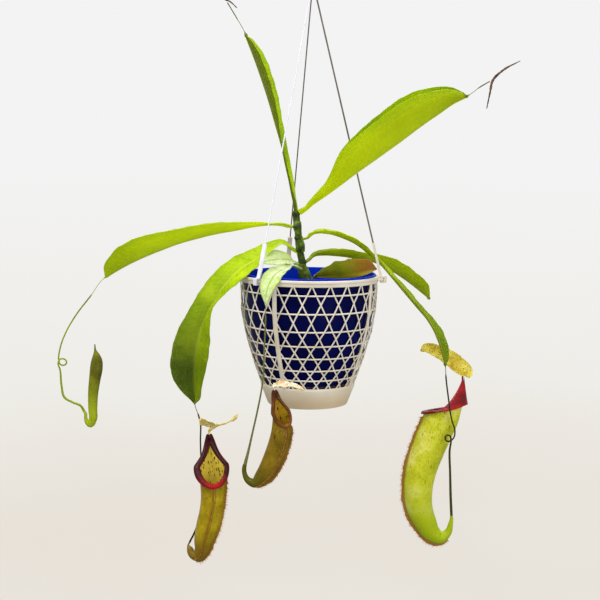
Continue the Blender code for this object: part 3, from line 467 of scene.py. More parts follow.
# Inner pot.
# A plain pot of glossy blue plastic stands inside the weave and holds the soil. It is turned in one piece,
# rests on the floor of the basket, and its lip shows above the rim.
LINER_WALL = 1.6
LINER_SIDES = 120
liner_outside = [(between(WALL_PROFILE, h) - 3.5, h) for h in (6.5, 20.0, 40.0, 62.0, 85.5, 107.5, 140.5)]
liner_top = POT_HEIGHT + 2.0
liner_profile = [(0.0, 6.5)] + liner_outside + [
    (76.6, 142.5), (76.6, liner_top - 0.5), (76.3, liner_top), (75.4, liner_top), (75.0, liner_top - 0.5)]
liner_profile += [(r - LINER_WALL, h) for r, h in reversed(liner_outside[1:])]
liner_profile += [(liner_outside[0][0] - LINER_WALL, 8.1), (0.0, 8.1)]
BLUE, blue_shader, blue_place = finish_named(
    "blue_plastic", 0.3, Specular_IOR_Level=0.05, Coat_Weight=0.02, Sheen_Weight=0.25, Sheen_Roughness=0.3,
    Sheen_Tint=paint(20, 110, 190))
# the dark outer blue is painted shade and the bright inner blue is painted light
blue_outside_painted_shade = ramp(noise(blue_place, 14.0), (0.3, paint(0, 2, 48)), (0.7, paint(0, 5, 74)))
blue_inside_painted_light = ramp(noise(blue_place, 20.0), (0.3, paint(0, 34, 170)), (0.7, paint(2, 52, 214)))


def number_of(where, name):
    """A number that a mesh carries at each of its points, for a material."""
    return output_of(where, "ShaderNodeAttribute", out="Fac", attribute_name=name)


feed(blue_shader, Base_Color=mixed(number_of(blue_place, "inside"), blue_outside_painted_shade, blue_inside_painted_light))
bumped(blue_shader, noise(blue_place, 300.0), 0.08, 0.0003)
liner_mesh = turned_mesh("blue_inner_pot", [(r * MM, level(h)) for r, h in liner_profile], LINER_SIDES)
# the inner face is painted a bright blue as painted light from above, and the outer face behind the weave a
# dark navy as painted shade
inner_face = liner_mesh.attributes.new("inside", "FLOAT", "POINT")
for vert, flag in zip(liner_mesh.vertices, inner_face.data):
    height = (vert.co.z - RIM_LEVEL) / MM + POT_HEIGHT
    wall_middle = between([(h, r - LINER_WALL / 2) for r, h in liner_outside] + [(liner_top, 76.0)], height)
    flag.value = float(vert.co.xy.length / MM < wall_middle or height > liner_top - 1.0)
placed(new_object("blue_inner_pot", liner_mesh, BLUE), "blue_plastic", "liner")

# Soil.
# Chips of bark over a bed of peat fill the inner pot to about 27 mm below the basket's rim.
# The bed is one turned body, and loose chips are strewn over its top.
SOIL_TOP = 121.5
BED_SIDES = 64
CHIPS = 420
CHIP_HALVES = (2.8, 1.9, 0.9)
soil_profile = [(0.0, 8.4), (41.4, 8.4), (50.6, 20.0), (55.0, 40.0), (61.8, 62.0), (68.2, 85.5),
                (72.3, 107.5), (73.0, SOIL_TOP - 3.0), (52.0, SOIL_TOP + 1.0), (20.0, SOIL_TOP + 2.2),
                (0.0, SOIL_TOP + 2.6)]


def mottled_finish(name, roughness, scale, detail, *stops, **constants):
    """A material whose colour runs through the stops by a noise."""
    material, shader, place = finish_named(name, roughness, **constants)
    feed(shader, Base_Color=ramp(noise(place, scale, detail), *stops))
    return material, shader, place


SOIL, soil_shader, soil_place = mottled_finish(
    "bark_and_peat", 0.95, 160.0, 5.0,
    (0.3, paint(30, 20, 12)), (0.6, paint(84, 56, 34)), (0.8, paint(120, 88, 56)))
bumped(soil_shader, noise(soil_place, 500.0, 5.0), 0.8, 0.001)


def chip_mesh():
    """A broken chip of bark, about 5 mm long."""
    draw = random.Random(3)
    bm = bmesh.new()
    bmesh.ops.create_icosphere(bm, subdivisions=1, radius=1.0)
    for vert in bm.verts:
        place = Vector(own * half for own, half in zip(vert.co, CHIP_HALVES))
        vert.co = place * (MM * draw.uniform(0.75, 1.15))
    return mesh_of("chip", bm, 20.0)


def above(value, limit):
    return output_of(value, "FunctionNodeCompare", {0: value, 1: limit}, data_type="FLOAT",
                     operation="GREATER_THAN")


def drawn(seed, low, high):
    """A seeded draw for each point between two limits: a vector, or a number if the limits are numbers."""
    number = isinstance(low, float)
    return output_of(seed, "FunctionNodeRandomValue", {2 * number: low, 2 * number + 1: high, "Seed": seed},
                     int(number), data_type="FLOAT" if number else "FLOAT_VECTOR")


def chips_tree():
    """A tree that strews chips over a bed's top. It takes the chip, how many, a seed and the finish."""
    tree, given = geometry_tree("strew_chips", "Soil", Bed="Geometry", Chip="Object", Density="Float",
                                Seed="Int", Finish="Material")
    upward = above(height_of(output_of(tree, "GeometryNodeInputNormal")), 0.7)
    on_top = above(height_of(output_of(tree, "GeometryNodeInputPosition")), level(SOIL_TOP - 4.0))
    points = output_of(tree, "GeometryNodeDistributePointsOnFaces", {
        "Mesh": given["Bed"], "Density": given["Density"], "Seed": given["Seed"],
        "Selection": output_of(tree, "FunctionNodeBooleanMath", {0: upward, 1: on_top}, operation="AND")})
    turn = drawn(given["Seed"], (-0.6, -0.6, 0.0), (0.6, 0.6, 6.28))
    chips = output_of(tree, "GeometryNodeInstanceOnPoints", {
        "Points": points, "Scale": drawn(given["Seed"], 0.6, 1.25),
        "Instance": output_of(tree, "GeometryNodeObjectInfo", {"Object": given["Chip"]}, "Geometry"),
        "Rotation": output_of(tree, "FunctionNodeEulerToRotation", {0: turn})})
    both = put(tree, "GeometryNodeJoinGeometry", {0: chips})
    return ended(tree, feed(both, {0: given["Bed"]}).outputs[0], given["Finish"])


chip = new_object("bark_chip", chip_mesh())
bed_area = math.pi * (72.0 * MM) ** 2
bed_mesh = turned_mesh("bed", [(r * MM, level(h)) for r, h in soil_profile], BED_SIDES)
soil_mesh = made_by(chips_tree(), bed_mesh, Chip=chip, Density=CHIPS / bed_area, Seed=5, Finish=SOIL)
bpy.data.objects.remove(chip, do_unlink=True)
placed(new_object("bark_and_peat", soil_mesh, SOIL), "soil", "soil")

# Hanger.
# A round hook grows out of a small moulded head, and three thin rods run from it to flat straps.
# The foot of each strap hooks round a tab of the rim.
HOOK_ROD = 4.0
HOOK_BEND = 11.0
HEAD_TOP, HEAD_BOTTOM, HEAD_RADIUS = -34.0, -44.0, 6.5
STRAND_DIAMETERS = (1.5, 1.9, 1.5)
STRAND_SPREAD = 3.6
CLIP_RADIUS, CLIP_WIDTH, CLIP_WALL, CLIP_HEIGHT = 83.0, 5.4, 2.2, 38.0
CLIP_GAP = 0.3


def place_of(point):
    """The first three numbers of a longer one, as a place."""
    return Vector(point[:3])


def smooth_route(points, spacing):
    """Points on a smooth curve through the given ones, and where the given ones are in the list.

    Numbers past the third of each point, such as a radius, run along with it.
    """
    points = [Vector(p) for p in points]
    lengths = [(place_of(b) - place_of(a)).length for a, b in zip(points, points[1:])]
    slopes = []
    for i, point in enumerate(points):
        if i == 0:
            slopes.append((points[1] - point) / lengths[0])
        elif i == len(points) - 1:
            slopes.append((point - points[-2]) / lengths[-1])
        else:
            before = (point - points[i - 1]) / lengths[i - 1]
            after = (points[i + 1] - point) / lengths[i]
            slopes.append((before * lengths[i] + after * lengths[i - 1]) / (lengths[i] + lengths[i - 1]))
    result, marks = [points[0]], [0]
    for i, length in enumerate(lengths):
        steps = max(1, math.ceil(length / spacing))
        for k in range(1, steps + 1):
            t = k / steps
            result.append(points[i] * (2 * t**3 - 3 * t**2 + 1)
                          + slopes[i] * ((t**3 - 2 * t**2 + t) * length)
                          + points[i + 1] * (3 * t**2 - 2 * t**3)
                          + slopes[i + 1] * ((t**3 - t**2) * length))
        marks.append(len(result) - 1)
    return result, marks


def ways_along(points):
    """The direction of the curve at each of its points."""
    return [(place_of(points[min(i + 1, len(points) - 1)]) - place_of(points[max(i - 1, 0)])).normalized()
            for i in range(len(points))]


def rod_mesh(name, points, radius, sides=16):
    """A round rod along points, of one radius in metres or of a radius at each point."""
    ways = ways_along(points)
    up = Vector((0.3, 0.9, 0.1))
    bm, rings = bmesh.new(), []
    for i, (point, way) in enumerate(zip(points, ways)):
        up = (up - way * up.dot(way)).normalized()
        side = way.cross(up)
        r = radius[i] if isinstance(radius, list) else radius
        rings.append([bm.verts.new(place_of(point) + (side * math.cos(a) + up * math.sin(a)) * r)
                      for a in [2 * math.pi * k / sides for k in range(sides)]])
    return mesh_of(name, skinned(bm, rings), 50.0)


bend_middle = -HOOK_BEND + HOOK_ROD / 2
hook_places = [Vector((0.0, 0.0, HEAD_TOP - 3.0)), Vector((0.0, 0.0, HEAD_TOP + 4.0))]
for degrees in range(-50, 221, 30):
    hook_places.append(Vector((HOOK_BEND * math.cos(math.radians(degrees)), 0.0,
                               bend_middle + HOOK_BEND * math.sin(math.radians(degrees)))))
hook_route, _ = smooth_route([place * MM for place in hook_places], 1.2 * MM)
head_profile = [(0.0, HEAD_TOP + 0.6), (2.6, HEAD_TOP + 0.6), (3.6, HEAD_TOP),
                (HEAD_RADIUS - 1.4, HEAD_TOP - 0.2), (HEAD_RADIUS - 0.4, HEAD_TOP - 1.0),
                (HEAD_RADIUS, HEAD_TOP - 2.2), (HEAD_RADIUS, HEAD_BOTTOM + 0.8),
                (HEAD_RADIUS - 0.8, HEAD_BOTTOM), (0.0, HEAD_BOTTOM)]
hook = joined("hanger_hook_and_head", [
    rod_mesh("hook", hook_route, HOOK_ROD / 2 * MM, 20),
    turned_mesh("head", [(r * MM, h * MM) for r, h in head_profile], 40)], IVORY)
placed(hook, "white_plastic", "hanger_hook")

# the left rod is clean and white, and the rear and right ones are painted a grey brown as painted shade
WHITE_ROD, *_ = mottled_finish(
    "white_rod", 0.4, 60.0, 3.0, (0.3, paint(224, 224, 232)), (0.7, paint(240, 240, 246)))
SHADED_ROD, *_ = mottled_finish(
    "painted_shade_rod", 0.5, 60.0, 3.0, (0.3, paint(84, 76, 70)), (0.7, paint(120, 110, 98)))

for number, degrees in enumerate(LUG_ANGLES, start=1):
    away = outward(degrees)
    foot = Vector((0, 0, RIM_LEVEL)) + away * CLIP_RADIUS * MM
    foot += Vector((0, 0, (LUG_TOP + CLIP_GAP + CLIP_WALL) * MM))
    head_place = away * STRAND_SPREAD * MM + Vector((0, 0, (HEAD_BOTTOM - 0.2) * MM))
    along = (head_place - foot).normalized()
    strap_top = foot + along * CLIP_HEIGHT * MM
    rod_places, _ = smooth_route([strap_top - along * 4.0 * MM, head_place], 8.0 * MM)
    rod = new_object(f"hanger_rod_{number}",
                     rod_mesh("rod", rod_places, STRAND_DIAMETERS[number - 1] / 2 * MM, 12),
                     WHITE_ROD if number == 1 else SHADED_ROD)
    placed(rod, "white_plastic", f"hanger_strand_{number}")

    # the strap's outline in the upright plane through the pot's axis, as (outward, upward) millimetres
    lean_out, lean_up = (strap_top - foot).dot(away) / MM, (strap_top - foot).z / MM
    half = CLIP_WALL / 2
    lug_low, base_up, outer = LUG_TOP - LUG_DEPTH, LUG_TOP + CLIP_GAP + CLIP_WALL, LUG_REACH + CLIP_GAP
    lean = Vector((lean_up, -lean_out)).normalized() * half
    outline = [
        (CLIP_RADIUS + lean_out - lean.x, base_up + lean_up - lean.y), (CLIP_RADIUS - half, base_up),
        (CLIP_RADIUS - half, LUG_TOP + CLIP_GAP), (outer, LUG_TOP + CLIP_GAP), (outer, lug_low - CLIP_GAP),
        (CLIP_RADIUS - half + 0.5, lug_low - CLIP_GAP),
        (CLIP_RADIUS - half + 0.5, lug_low - CLIP_GAP - CLIP_WALL),
        (outer + CLIP_WALL, lug_low - CLIP_GAP - CLIP_WALL), (outer + CLIP_WALL, base_up),
        (CLIP_RADIUS + half, base_up), (CLIP_RADIUS + lean_out + lean.x, base_up + lean_up + lean.y)]
    side = away.cross(Vector((0, 0, 1))) * CLIP_WIDTH / 2 * MM
    bm = plate_bmesh([away * (out * MM) + Vector((0, 0, RIM_LEVEL + up * MM)) - side for out, up in outline],
                     side * 2, 0.35)
    bmesh.ops.triangulate(bm, faces=[f for f in bm.faces if len(f.verts) > 4])
    strap = new_object(f"hanger_strap_{number}", mesh_of("strap", bm, 40.0),
                       WHITE_ROD if number == 1 else IVORY)
    placed(strap, "white_plastic", f"hanger_clip_{number}")

# Stem.
# The climbing stem is green wood, ringed at each joint where old leaves have dropped.
# It grows out of the middle of the soil, and the bases of fallen leaves still clasp it.
STEM_ROUTE = [(0, 0, -58.7), (0, 0, -30), (-4, 0, -8), (-8, 0, 14), (-12, 0, 34), (-13, 0, 48), (-15, 0, 62),
              (-16, 0, 73)]
STEM_RADIUS, STEM_JOINT, STEM_FOOT, JOINT_SPACING, JOINT_RING = 4.1, 4.8, 5.0, 14.0, 0.35


def from_rim(x, y, z):
    """A place in millimetres from the middle of the rim, in metres from the hook."""
    return Vector((x, y, z)) * MM + Vector((0.0, 0.0, RIM_LEVEL))


def stem_middle(height):
    for lower, upper in zip(STEM_ROUTE, STEM_ROUTE[1:]):
        if height <= upper[2]:
            return Vector(lower).lerp(Vector(upper), (height - lower[2]) / (upper[2] - lower[2]))
    return Vector(STEM_ROUTE[-1])


def joint_swell(height, sharpness):
    """How far a height is into a joint, from 0 between two joints to 1 in the middle of one."""
    return max(0.0, math.cos(height * 2 * math.pi / JOINT_SPACING)) ** sharpness


def stem_radius(height):
    if height < -20.0:
        return STEM_FOOT
    return STEM_RADIUS + (STEM_JOINT - STEM_RADIUS) * joint_swell(height, 2)


BARK, bark_shader, bark_place = finish_named("green_bark", 0.5, Specular_IOR_Level=0.2)
bark_skin = ramp(noise(bark_place, 120.0, 5.0),
                 (0.3, paint(30, 36, 10)), (0.5, paint(66, 88, 16)), (0.7, paint(128, 152, 44)))
# a dark scar rings the stem at every joint
joints_up = reckon("DIVIDE", reckon("SUBTRACT", height_of(bark_place), RIM_LEVEL), JOINT_SPACING * MM)
from_joint = plus(reckon("PINGPONG", joints_up, 0.5), spread(noise(bark_place, 150.0), 0.35, 0.65, 0.0, 0.3))
feed(bark_shader, Base_Color=mixed(spread(from_joint, 0.1, 0.4, 0.75, 0.0), bark_skin, paint(26, 24, 10)))
bumped(bark_shader, noise(bark_place, 400.0, 5.0), 0.5, 0.0006)
stem_places, _ = smooth_route([from_rim(*place) for place in STEM_ROUTE], 0.8 * MM)
stem_radii = []
for place in stem_places:
    height = (place.z - RIM_LEVEL) / MM
    stem_radii.append((stem_radius(height) + JOINT_RING * joint_swell(height, 24)) * MM)
stem_meshes = [rod_mesh("stem", stem_places, stem_radii, 32)]
# the bases of fallen leaves still clasp its foot and its joints, as (x, y, z, radius) in millimetres
for base_route in ([(-6, -3, 8, 4.6), (-2, -5, -3, 5.0), (3, -6, -13, 4.4), (7, -7, -21, 2.6),
                    (9, -7, -25, 0.8)],
                   [(-9, -3, 12, 4.4), (-8, -5, 2, 4.8), (-6, -6, -10, 4.4), (-3, -6, -20, 2.4)],
                   [(-12, -2, 40, 4.6), (-10, -3, 33, 5.0), (-8, -4, 26, 3.0)],
                   [(-14, -1, 60, 4.4), (-14, -3, 54, 4.9), (-12, -3, 46, 3.0)]):
    base_places, _ = smooth_route([(*from_rim(x, y, z), r) for x, y, z, r in base_route], 1.2 * MM)
    stem_meshes.append(rod_mesh("leaf_base", base_places, [place[3] * MM for place in base_places], 20))
placed(joined("stem_with_scars", stem_meshes, BARK), "stem", "stem")

# Leaves.
# Each leaf is a long strap folded along its midrib, which on most of them runs on as a thin tendril.
# The blade is satin, with fine veins that slant out from a proud midrib to a thin margin.
BLADE_THICKNESS = 0.9
MARGIN_THINNING = 0.45
RIPPLE_RATE, FINE_RIPPLE_RATE = 0.35, 0.83
STALK_HEIGHT = 2.3
FOLD_CURL = 48.0
ACROSS_STEPS = 9
# the half widths between which a round stalk opens into a folded blade
OPENS, OPEN = 2.0, 4.6


def smooth_step(value):
    value = min(max(value, 0.0), 1.0)
    return value * value * (3.0 - 2.0 * value)


def along_list(values, share):
    """The value at a share of the way through a list, on straight lines between its entries."""
    at = min(max(share, 0.0), 1.0) * (len(values) - 1)
    i = min(int(at), len(values) - 2)
    return Vector(values[i]).lerp(Vector(values[i + 1]), at - i)


def blade_ring(centre, along, up, halves, fold, curl, keel, lifts):
    """Points round a folded blade: from left to right over its upper face, and back under its lower one."""
    side = along.cross(up)
    lines = []
    for sign, width, rise, lift in zip((-1.0, 1.0), halves, fold, lifts):
        x = y = 0.0
        line = []
        for step in range(1, ACROSS_STEPS + 1):
            slope = math.radians(rise + curl * ((step - 0.5) / ACROSS_STEPS - 0.5))
            x += width / ACROSS_STEPS * math.cos(slope)
            y += width / ACROSS_STEPS * math.sin(slope)
            edge = step / ACROSS_STEPS
            thin = BLADE_THICKNESS / 2 * (1.0 - MARGIN_THINNING * edge**4)
            line.append((sign * x, y + lift * edge**2,
                         -sign * math.sin(slope) * thin, math.cos(slope) * thin))
        lines.append(line)
    left, right = lines
    upper = [(x + nx, y + ny) for x, y, nx, ny in reversed(left)]
    upper += [(0.0, BLADE_THICKNESS * 0.1)] + [(x + nx, y + ny) for x, y, nx, ny in right]
    lower = [(x - nx, y - ny) for x, y, nx, ny in reversed(right)]
    lower += [(0.0, -BLADE_THICKNESS / 2 - keel)] + [(x - nx, y - ny) for x, y, nx, ny in left]
    return [centre + (side * x + up * y) * MM for x, y in upper + lower]


def stalk_ring(centre, along, up, half_width, half_height):
    """Points round a stalk or tendril, in the same order as round a blade."""
    side = along.cross(up)
    count = 2 * ACROSS_STEPS + 1
    angles = [math.pi * (1 - (k + 0.5) / count) for k in range(count)]
    angles += [-math.pi * (k + 0.5) / count for k in range(count)]
    return [centre + (side * (half_width * math.cos(a)) + up * (half_height * math.sin(a))) * MM
            for a in angles]


def leaf_object(name, stations, blade, facings, rises, material, wave=0.0, keel=1.2, curl=FOLD_CURL,
                spacing=2.0, ragged=0.0, seed=1, tones=(0.0, 0.0), painted_shade=(0.0, 0.0, 0.0)):
    """A leaf: a stalk, a folded blade and the tendril that its midrib runs out into.

    stations hold (x, y, z, left half, right half) in millimetres from the middle of the rim, or one half
    for both sides. blade numbers the first and last station of the blade. facings are the ways that the
    upper face looks and rises the steepness of its left and right half, spaced evenly along the blade.
    tones run from 0 for a green tendril to 1 for a dark one. The last argument holds how much painted shade
    darkens the blade at its start and end, and how much of that keeps to one half: -1 all to its left, 1 all
    to its right.
    Returns the object, and the place and way of the tendril's end.
    """
    points, marks = smooth_route([(*from_rim(*s[:3]), s[3], s[-1]) for s in stations], spacing * MM)
    ways = ways_along(points)
    reach = [0.0]
    for a, b in zip(points, points[1:]):
        reach.append(reach[-1] + (place_of(b) - place_of(a)).length / MM)
    begin, end, total = reach[marks[blade[0]]], reach[marks[blade[1]]], reach[-1]
    widest = max(max(s[3], s[-1]) for s in stations)
    draw = random.Random(seed)
    phases = (draw.uniform(0.0, 6.28), draw.uniform(0.0, 6.28))
    bm = bmesh.new()
    layers = [bm.verts.layers.float.new(layer)
              for layer in ("across", "along", "share", "upper", "tone", "painted_shade")]
    count = 2 * ACROSS_STEPS + 1
    rings, up = [], None
    for point, way, at in zip(points, ways, reach):
        share = (at - begin) / (end - begin)
        halves = [max(0.35, value) for value in point[3:5]]
        flat = smooth_step((max(halves) - OPENS) / (OPEN - OPENS))
        hint = along_list(facings, share) if share <= 1.0 or up is None else up
        up = (hint - way * hint.dot(way)).normalized()
        fold = [value * flat for value in along_list(rises, share)]
        ripple = wave * flat * max(halves) / widest
        lifts = [ripple * (math.sin(at * RIPPLE_RATE + phase)
                           + 0.4 * math.sin(at * FINE_RIPPLE_RATE + 2.1 * phase))
                 for phase in phases]
        if ragged > 0.0:
            lifts = [lift + draw.uniform(-ragged, ragged) * flat for lift in lifts]
            halves = [half * (1.0 + draw.uniform(-0.16, 0.08) * flat) for half in halves]
        half = (halves[0] + halves[1]) / 2
        ring = stalk_ring(place_of(point), way, up, half, half if half < 1.6 else min(half, STALK_HEIGHT))
        if flat > 0.0:
            flat_ring = blade_ring(place_of(point), way, up, halves, fold, curl, keel * flat, lifts)
            ring = [a.lerp(b, flat) for a, b in zip(ring, flat_ring)]
        tone = tones[0] + (tones[1] - tones[0]) * (at - end) / max(total - end, 1.0) if at > end else 0.0
        # painted shade: how far the blade is darkened, along its length and towards one half
        painted_shade_amount = min(max(painted_shade[0] + (painted_shade[1] - painted_shade[0]) * min(max(share, 0.0), 1.0), 0.0), 1.0)
        line = []
        for k, place in enumerate(ring):
            vert = bm.verts.new(place)
            on_upper = k < count
            across = (k if on_upper else 2 * count - 1 - k) / (count - 1) * 2 - 1
            other_half = min(max(0.5 - math.copysign(4.0, painted_shade[2]) * across, 0.0), 1.0)
            over = 1.0 - abs(painted_shade[2]) * other_half
            for layer, value in zip(layers, (across, at, share, float(on_upper), tone, painted_shade_amount * over)):
                vert[layer] = value
            line.append(vert)
        rings.append(line)
    thing = new_object(name, mesh_of(name, skinned(bm, rings), 60.0), material)
    return thing, (place_of(points[-1]), ways[-1])


def from_stem(height, direction, half):
    """The first three stations of a leaf that clasps the stem at a height and leaves it in a direction."""
    way = Vector(direction).normalized()
    flat = Vector((way.x, way.y, 0.0)).normalized()
    root = stem_middle(height) + flat * (stem_radius(height) + 0.45 + 0.85 * half * abs(way.z))
    return [(*(root - way * 2.2), half + 1.6), (*root, half + 1.2), (*(root + way * 4.0), half + 0.3)]


def loop_of(centre, across, tall, depths, start, turn, half, steps=8):
    """Stations round a loop that a tendril makes, in the plane that faces the viewer."""
    loop = []
    for k in range(steps + 1):
        angle = math.radians(start + turn * k / steps)
        depth = depths[0] + (depths[1] - depths[0]) * k / steps
        loop.append((centre[0] + across * math.cos(angle), depth, centre[1] + tall * math.sin(angle), half))
    return loop


def effect_group(name, **numbers):
    """A shader group that takes a place and named numbers, and the sockets of its inputs."""
    group = bpy.data.node_groups.new(name, "ShaderNodeTree")
    group.interface.new_socket("Place", in_out="INPUT", socket_type="NodeSocketVector")
    for number, value in numbers.items():
        socket = group.interface.new_socket(number.replace("_", " "), in_out="INPUT",
                                            socket_type="NodeSocketFloat")
        socket.default_value = value
    return group, put(group, "NodeGroupInput").outputs


def puts_out(group, **masks):
    """Ends a shader group with named outputs."""
    for mask in masks:
        group.interface.new_socket(mask, in_out="OUTPUT", socket_type="NodeSocketFloat")
    put(group, "NodeGroupOutput", masks)


def effect(group, place, **values):
    """A group placed in a material with its own values; returns its outputs."""
    return feed(put(place, "ShaderNodeGroup", node_tree=group), Place=place, **values).outputs


# veins: a midrib, slanting side veins, long veins beside the midrib and a fine net between them
VEINS, given = effect_group("leaf_veins", Across=0.0, Along=0.0, Vein_Step=3.0, Slant=14.0, Net_Scale=900.0)
from_middle = reckon("ABSOLUTE", given["Across"])
midrib = spread(from_middle, 0.03, 0.1, 1.0, 0.0)
slanted = reckon("SUBTRACT", given["Along"], times(from_middle, given["Slant"]))
wobble = times(noise(given["Place"], 60.0), 2.4)
step_share = reckon("DIVIDE", plus(slanted, wobble), given["Vein Step"])
side_veins = spread(reckon("PINGPONG", step_share, 1.0), 0.0, 0.28, 1.0, 0.0)
long_veins = spread(reckon("PINGPONG", times(from_middle, 5.0), 1.0), 0.0, 0.16, 1.0, 0.0)
vein_mask = reckon("MAXIMUM", times(side_veins, 0.7), times(long_veins, 0.8))
net_edge = output_of(VEINS, "ShaderNodeTexVoronoi", {"Vector": given["Place"], "Scale": given["Net Scale"]},
                     "Distance", feature="DISTANCE_TO_EDGE")
net_mask = spread(net_edge, 0.0, 0.12, 1.0, 0.0)
vein_height = plus(plus(times(vein_mask, 0.6), times(net_mask, -0.25)), times(midrib, -1.0))
puts_out(VEINS, Midrib=midrib, Veins=vein_mask, Net=net_mask, Height=vein_height)

# flecks: scattered specks, drawn out along the length of what they lie on
FLECKS, given = effect_group("flecks", Scale=300.0, Stretch=0.5, Amount=0.5, Size=0.3)
stretch = output_of(FLECKS, "ShaderNodeCombineXYZ", {"X": 1.0, "Y": 1.0, "Z": given["Stretch"]})
stretched = output_of(FLECKS, "ShaderNodeVectorMath", {0: given["Place"], 1: stretch}, operation="MULTIPLY")
cells = put(FLECKS, "ShaderNodeTexVoronoi", {"Vector": stretched, "Scale": given["Scale"]})
cell_draw = put(FLECKS, "ShaderNodeSeparateColor", {0: cells.outputs["Color"]}).outputs
chosen = reckon("LESS_THAN", cell_draw[0], given["Amount"])
fleck_size = times(given["Size"], spread(cell_draw[1], 0.0, 1.0, 0.5, 1.2))
fleck_edge = reckon("DIVIDE", cells.outputs["Distance"], fleck_size)
puts_out(FLECKS, Mask=times(spread(fleck_edge, 0.75, 1.15, 1.0, 0.0), chosen))


def flecks_of(place, scale, stretch, amount, size):
    return effect(FLECKS, place, Scale=scale, Stretch=stretch, Amount=amount, Size=size)["Mask"]


def leaf_veins_of(place, **values):
    """The veins of a blade, which carries how far across and along it each of its points is."""
    return effect(VEINS, place, Across=number_of(place, "across"), Along=number_of(place, "along"), **values)


def leaf_finish(name, shades, beneath_and_backlight, rib, dark, painted_shade, roughness, gloss=0.12, vein_step=3.0):
    """A leaf's skin. shades run from its dark to its light patches, and the lower face's colour on the green
    leaf is painted backlight.
    """
    material, shader, place = finish_named(
        name, roughness, Specular_IOR_Level=gloss, Subsurface_Weight=0.6, Subsurface_Scale=0.003,
        Subsurface_Radius=(0.9, 1.0, 0.12))
    veins = leaf_veins_of(place, Vein_Step=vein_step)
    low, middle, high = shades
    skin = ramp(noise(place, 22.0, 4.0), (0.3, low), (0.5, middle), (0.7, high))
    skin = mixed(times(flecks_of(place, 160.0, 1.0, 0.3, 0.42), 0.35), skin, low)
    skin = mixed(times(veins["Net"], 0.3), skin, low)
    skin = mixed(times(veins["Veins"], 0.45), skin, high)
    # the lower face mixes towards its own colour, which on the green leaf is a brighter yellow painted as
    # backlight
    skin = mixed(number_of(place, "upper"), mixed(0.6, skin, beneath_and_backlight), skin)
    margin = spread(reckon("ABSOLUTE", number_of(place, "across")), 0.7, 1.0, 0.0, 0.55)
    skin = mixed(margin, skin, low)
    skin = mixed(times(veins["Midrib"], 0.6), skin, rib)
    # painted shade darkens the parts of the blade that turn away from the light
    skin = mixed(times(number_of(place, "painted_shade"), 0.92), skin, painted_shade)
    skin = mixed(number_of(place, "tone"), skin, dark)
    feed(shader, Base_Color=skin,
         Roughness=spread(noise(place, 90.0), 0.3, 0.7, roughness - 0.08, roughness + 0.1))
    bumped(shader, veins["Height"], 0.55, 0.0005)
    return material, shader, place, skin


# the green leaf's bright yellow lower face is painted backlight
LEAF, *_ = leaf_finish("green_leaf", (paint(128, 158, 4), paint(172, 200, 6), paint(212, 232, 26)),
                       paint(226, 238, 8), paint(204, 216, 70), paint(46, 42, 26), paint(36, 52, 2), 0.42)
PALE_LEAF, *_ = leaf_finish("pale_leaf", (paint(142, 174, 66), paint(182, 204, 116), paint(226, 236, 196)),
                            paint(130, 168, 40), paint(112, 146, 40), paint(98, 100, 34), paint(60, 90, 10),
                            0.26, 0.5, 4.0)
OLD_LEAF, old_shader, old_place, old_skin = leaf_finish(
    "old_leaf", (paint(92, 104, 12), paint(114, 124, 18), paint(140, 138, 28)),
    paint(140, 142, 26), paint(150, 146, 36), paint(60, 50, 24), paint(60, 60, 8), 0.42)
# the old leaf turns from olive to rust towards its tip, and stays yellow along its fold
old_turn = spread(plus(number_of(old_place, "share"), times(noise(old_place, 45.0), 0.6)), 0.75, 1.2)
old_skin = mixed(old_turn, old_skin, paint(150, 84, 26))
old_yellow = spread(reckon("ABSOLUTE", number_of(old_place, "across")), 0.32, 0.1)
feed(old_shader, Base_Color=mixed(times(old_yellow, 0.75), old_skin, paint(186, 176, 40)))

stem_top = Vector(STEM_ROUTE[-1])
top_way = (stem_top - Vector(STEM_ROUTE[-2])).normalized()
upright, _ = leaf_object(
    "upright_leaf", [(*(stem_top - top_way * 2.5), 3.4), (*stem_top, 3.2),
                     (*(stem_top + top_way * 5.0), 2.8), (-21, 1, 98, 4.0), (-27.5, 2, 126, 5.0),
                     (-33.5, 3, 150, 6.5), (-40, 4, 172, 10.5), (-47.5, 6, 197, 15), (-56, 8, 222, 16.5),
                     (-64.5, 9, 245, 15), (-71, 10, 261, 9), (-76, 10, 273, 0.7), (-86, 10, 290, 0.6),
                     (-96, 10, 306, 0.6)],
    (4, 11), ((0.7, -0.7, 0.1), (1.0, -0.05, 0.2), (1.0, -0.05, 0.25), (1.0, -0.1, 0.3)),
    ((27.0, 44.0), (30.0, 46.0)), LEAF,
    wave=0.3, seed=1, tones=(0.3, 0.5), painted_shade=(0.85, 0.85, -0.9))
placed(upright, "leaf", "leaf_upright")
large_right, _ = leaf_object(
    "large_right_leaf", from_stem(71.0, (0.8, -0.25, 0.6), 4.2)
    + [(4, -8, 82, 6.5), (13, -12, 88.5, 9.5), (22, -15, 95, 12), (31, -19, 102, 17),
       (50, -26, 117, 31.5), (73, -34, 134, 37.5), (97, -41, 152, 39.5), (120, -48, 170, 38.5),
       (138, -53, 183, 32.5), (155, -58, 195, 19.5),
       (165, -60.5, 200, 7), (169, -61, 202, 0.8), (181, -64, 211, 0.7), (191, -66, 217, 0.6)],
    (3, 13), ((-0.4, -0.1, 1.0), (-0.5, -0.2, 1.0)), ((70.0, 64.0), (72.0, 66.0)), LEAF,
    wave=0.2, seed=2, tones=(0.5, 0.8), painted_shade=(0.0, 0.35, 0.0))
placed(large_right, "leaf", "leaf_large_right")
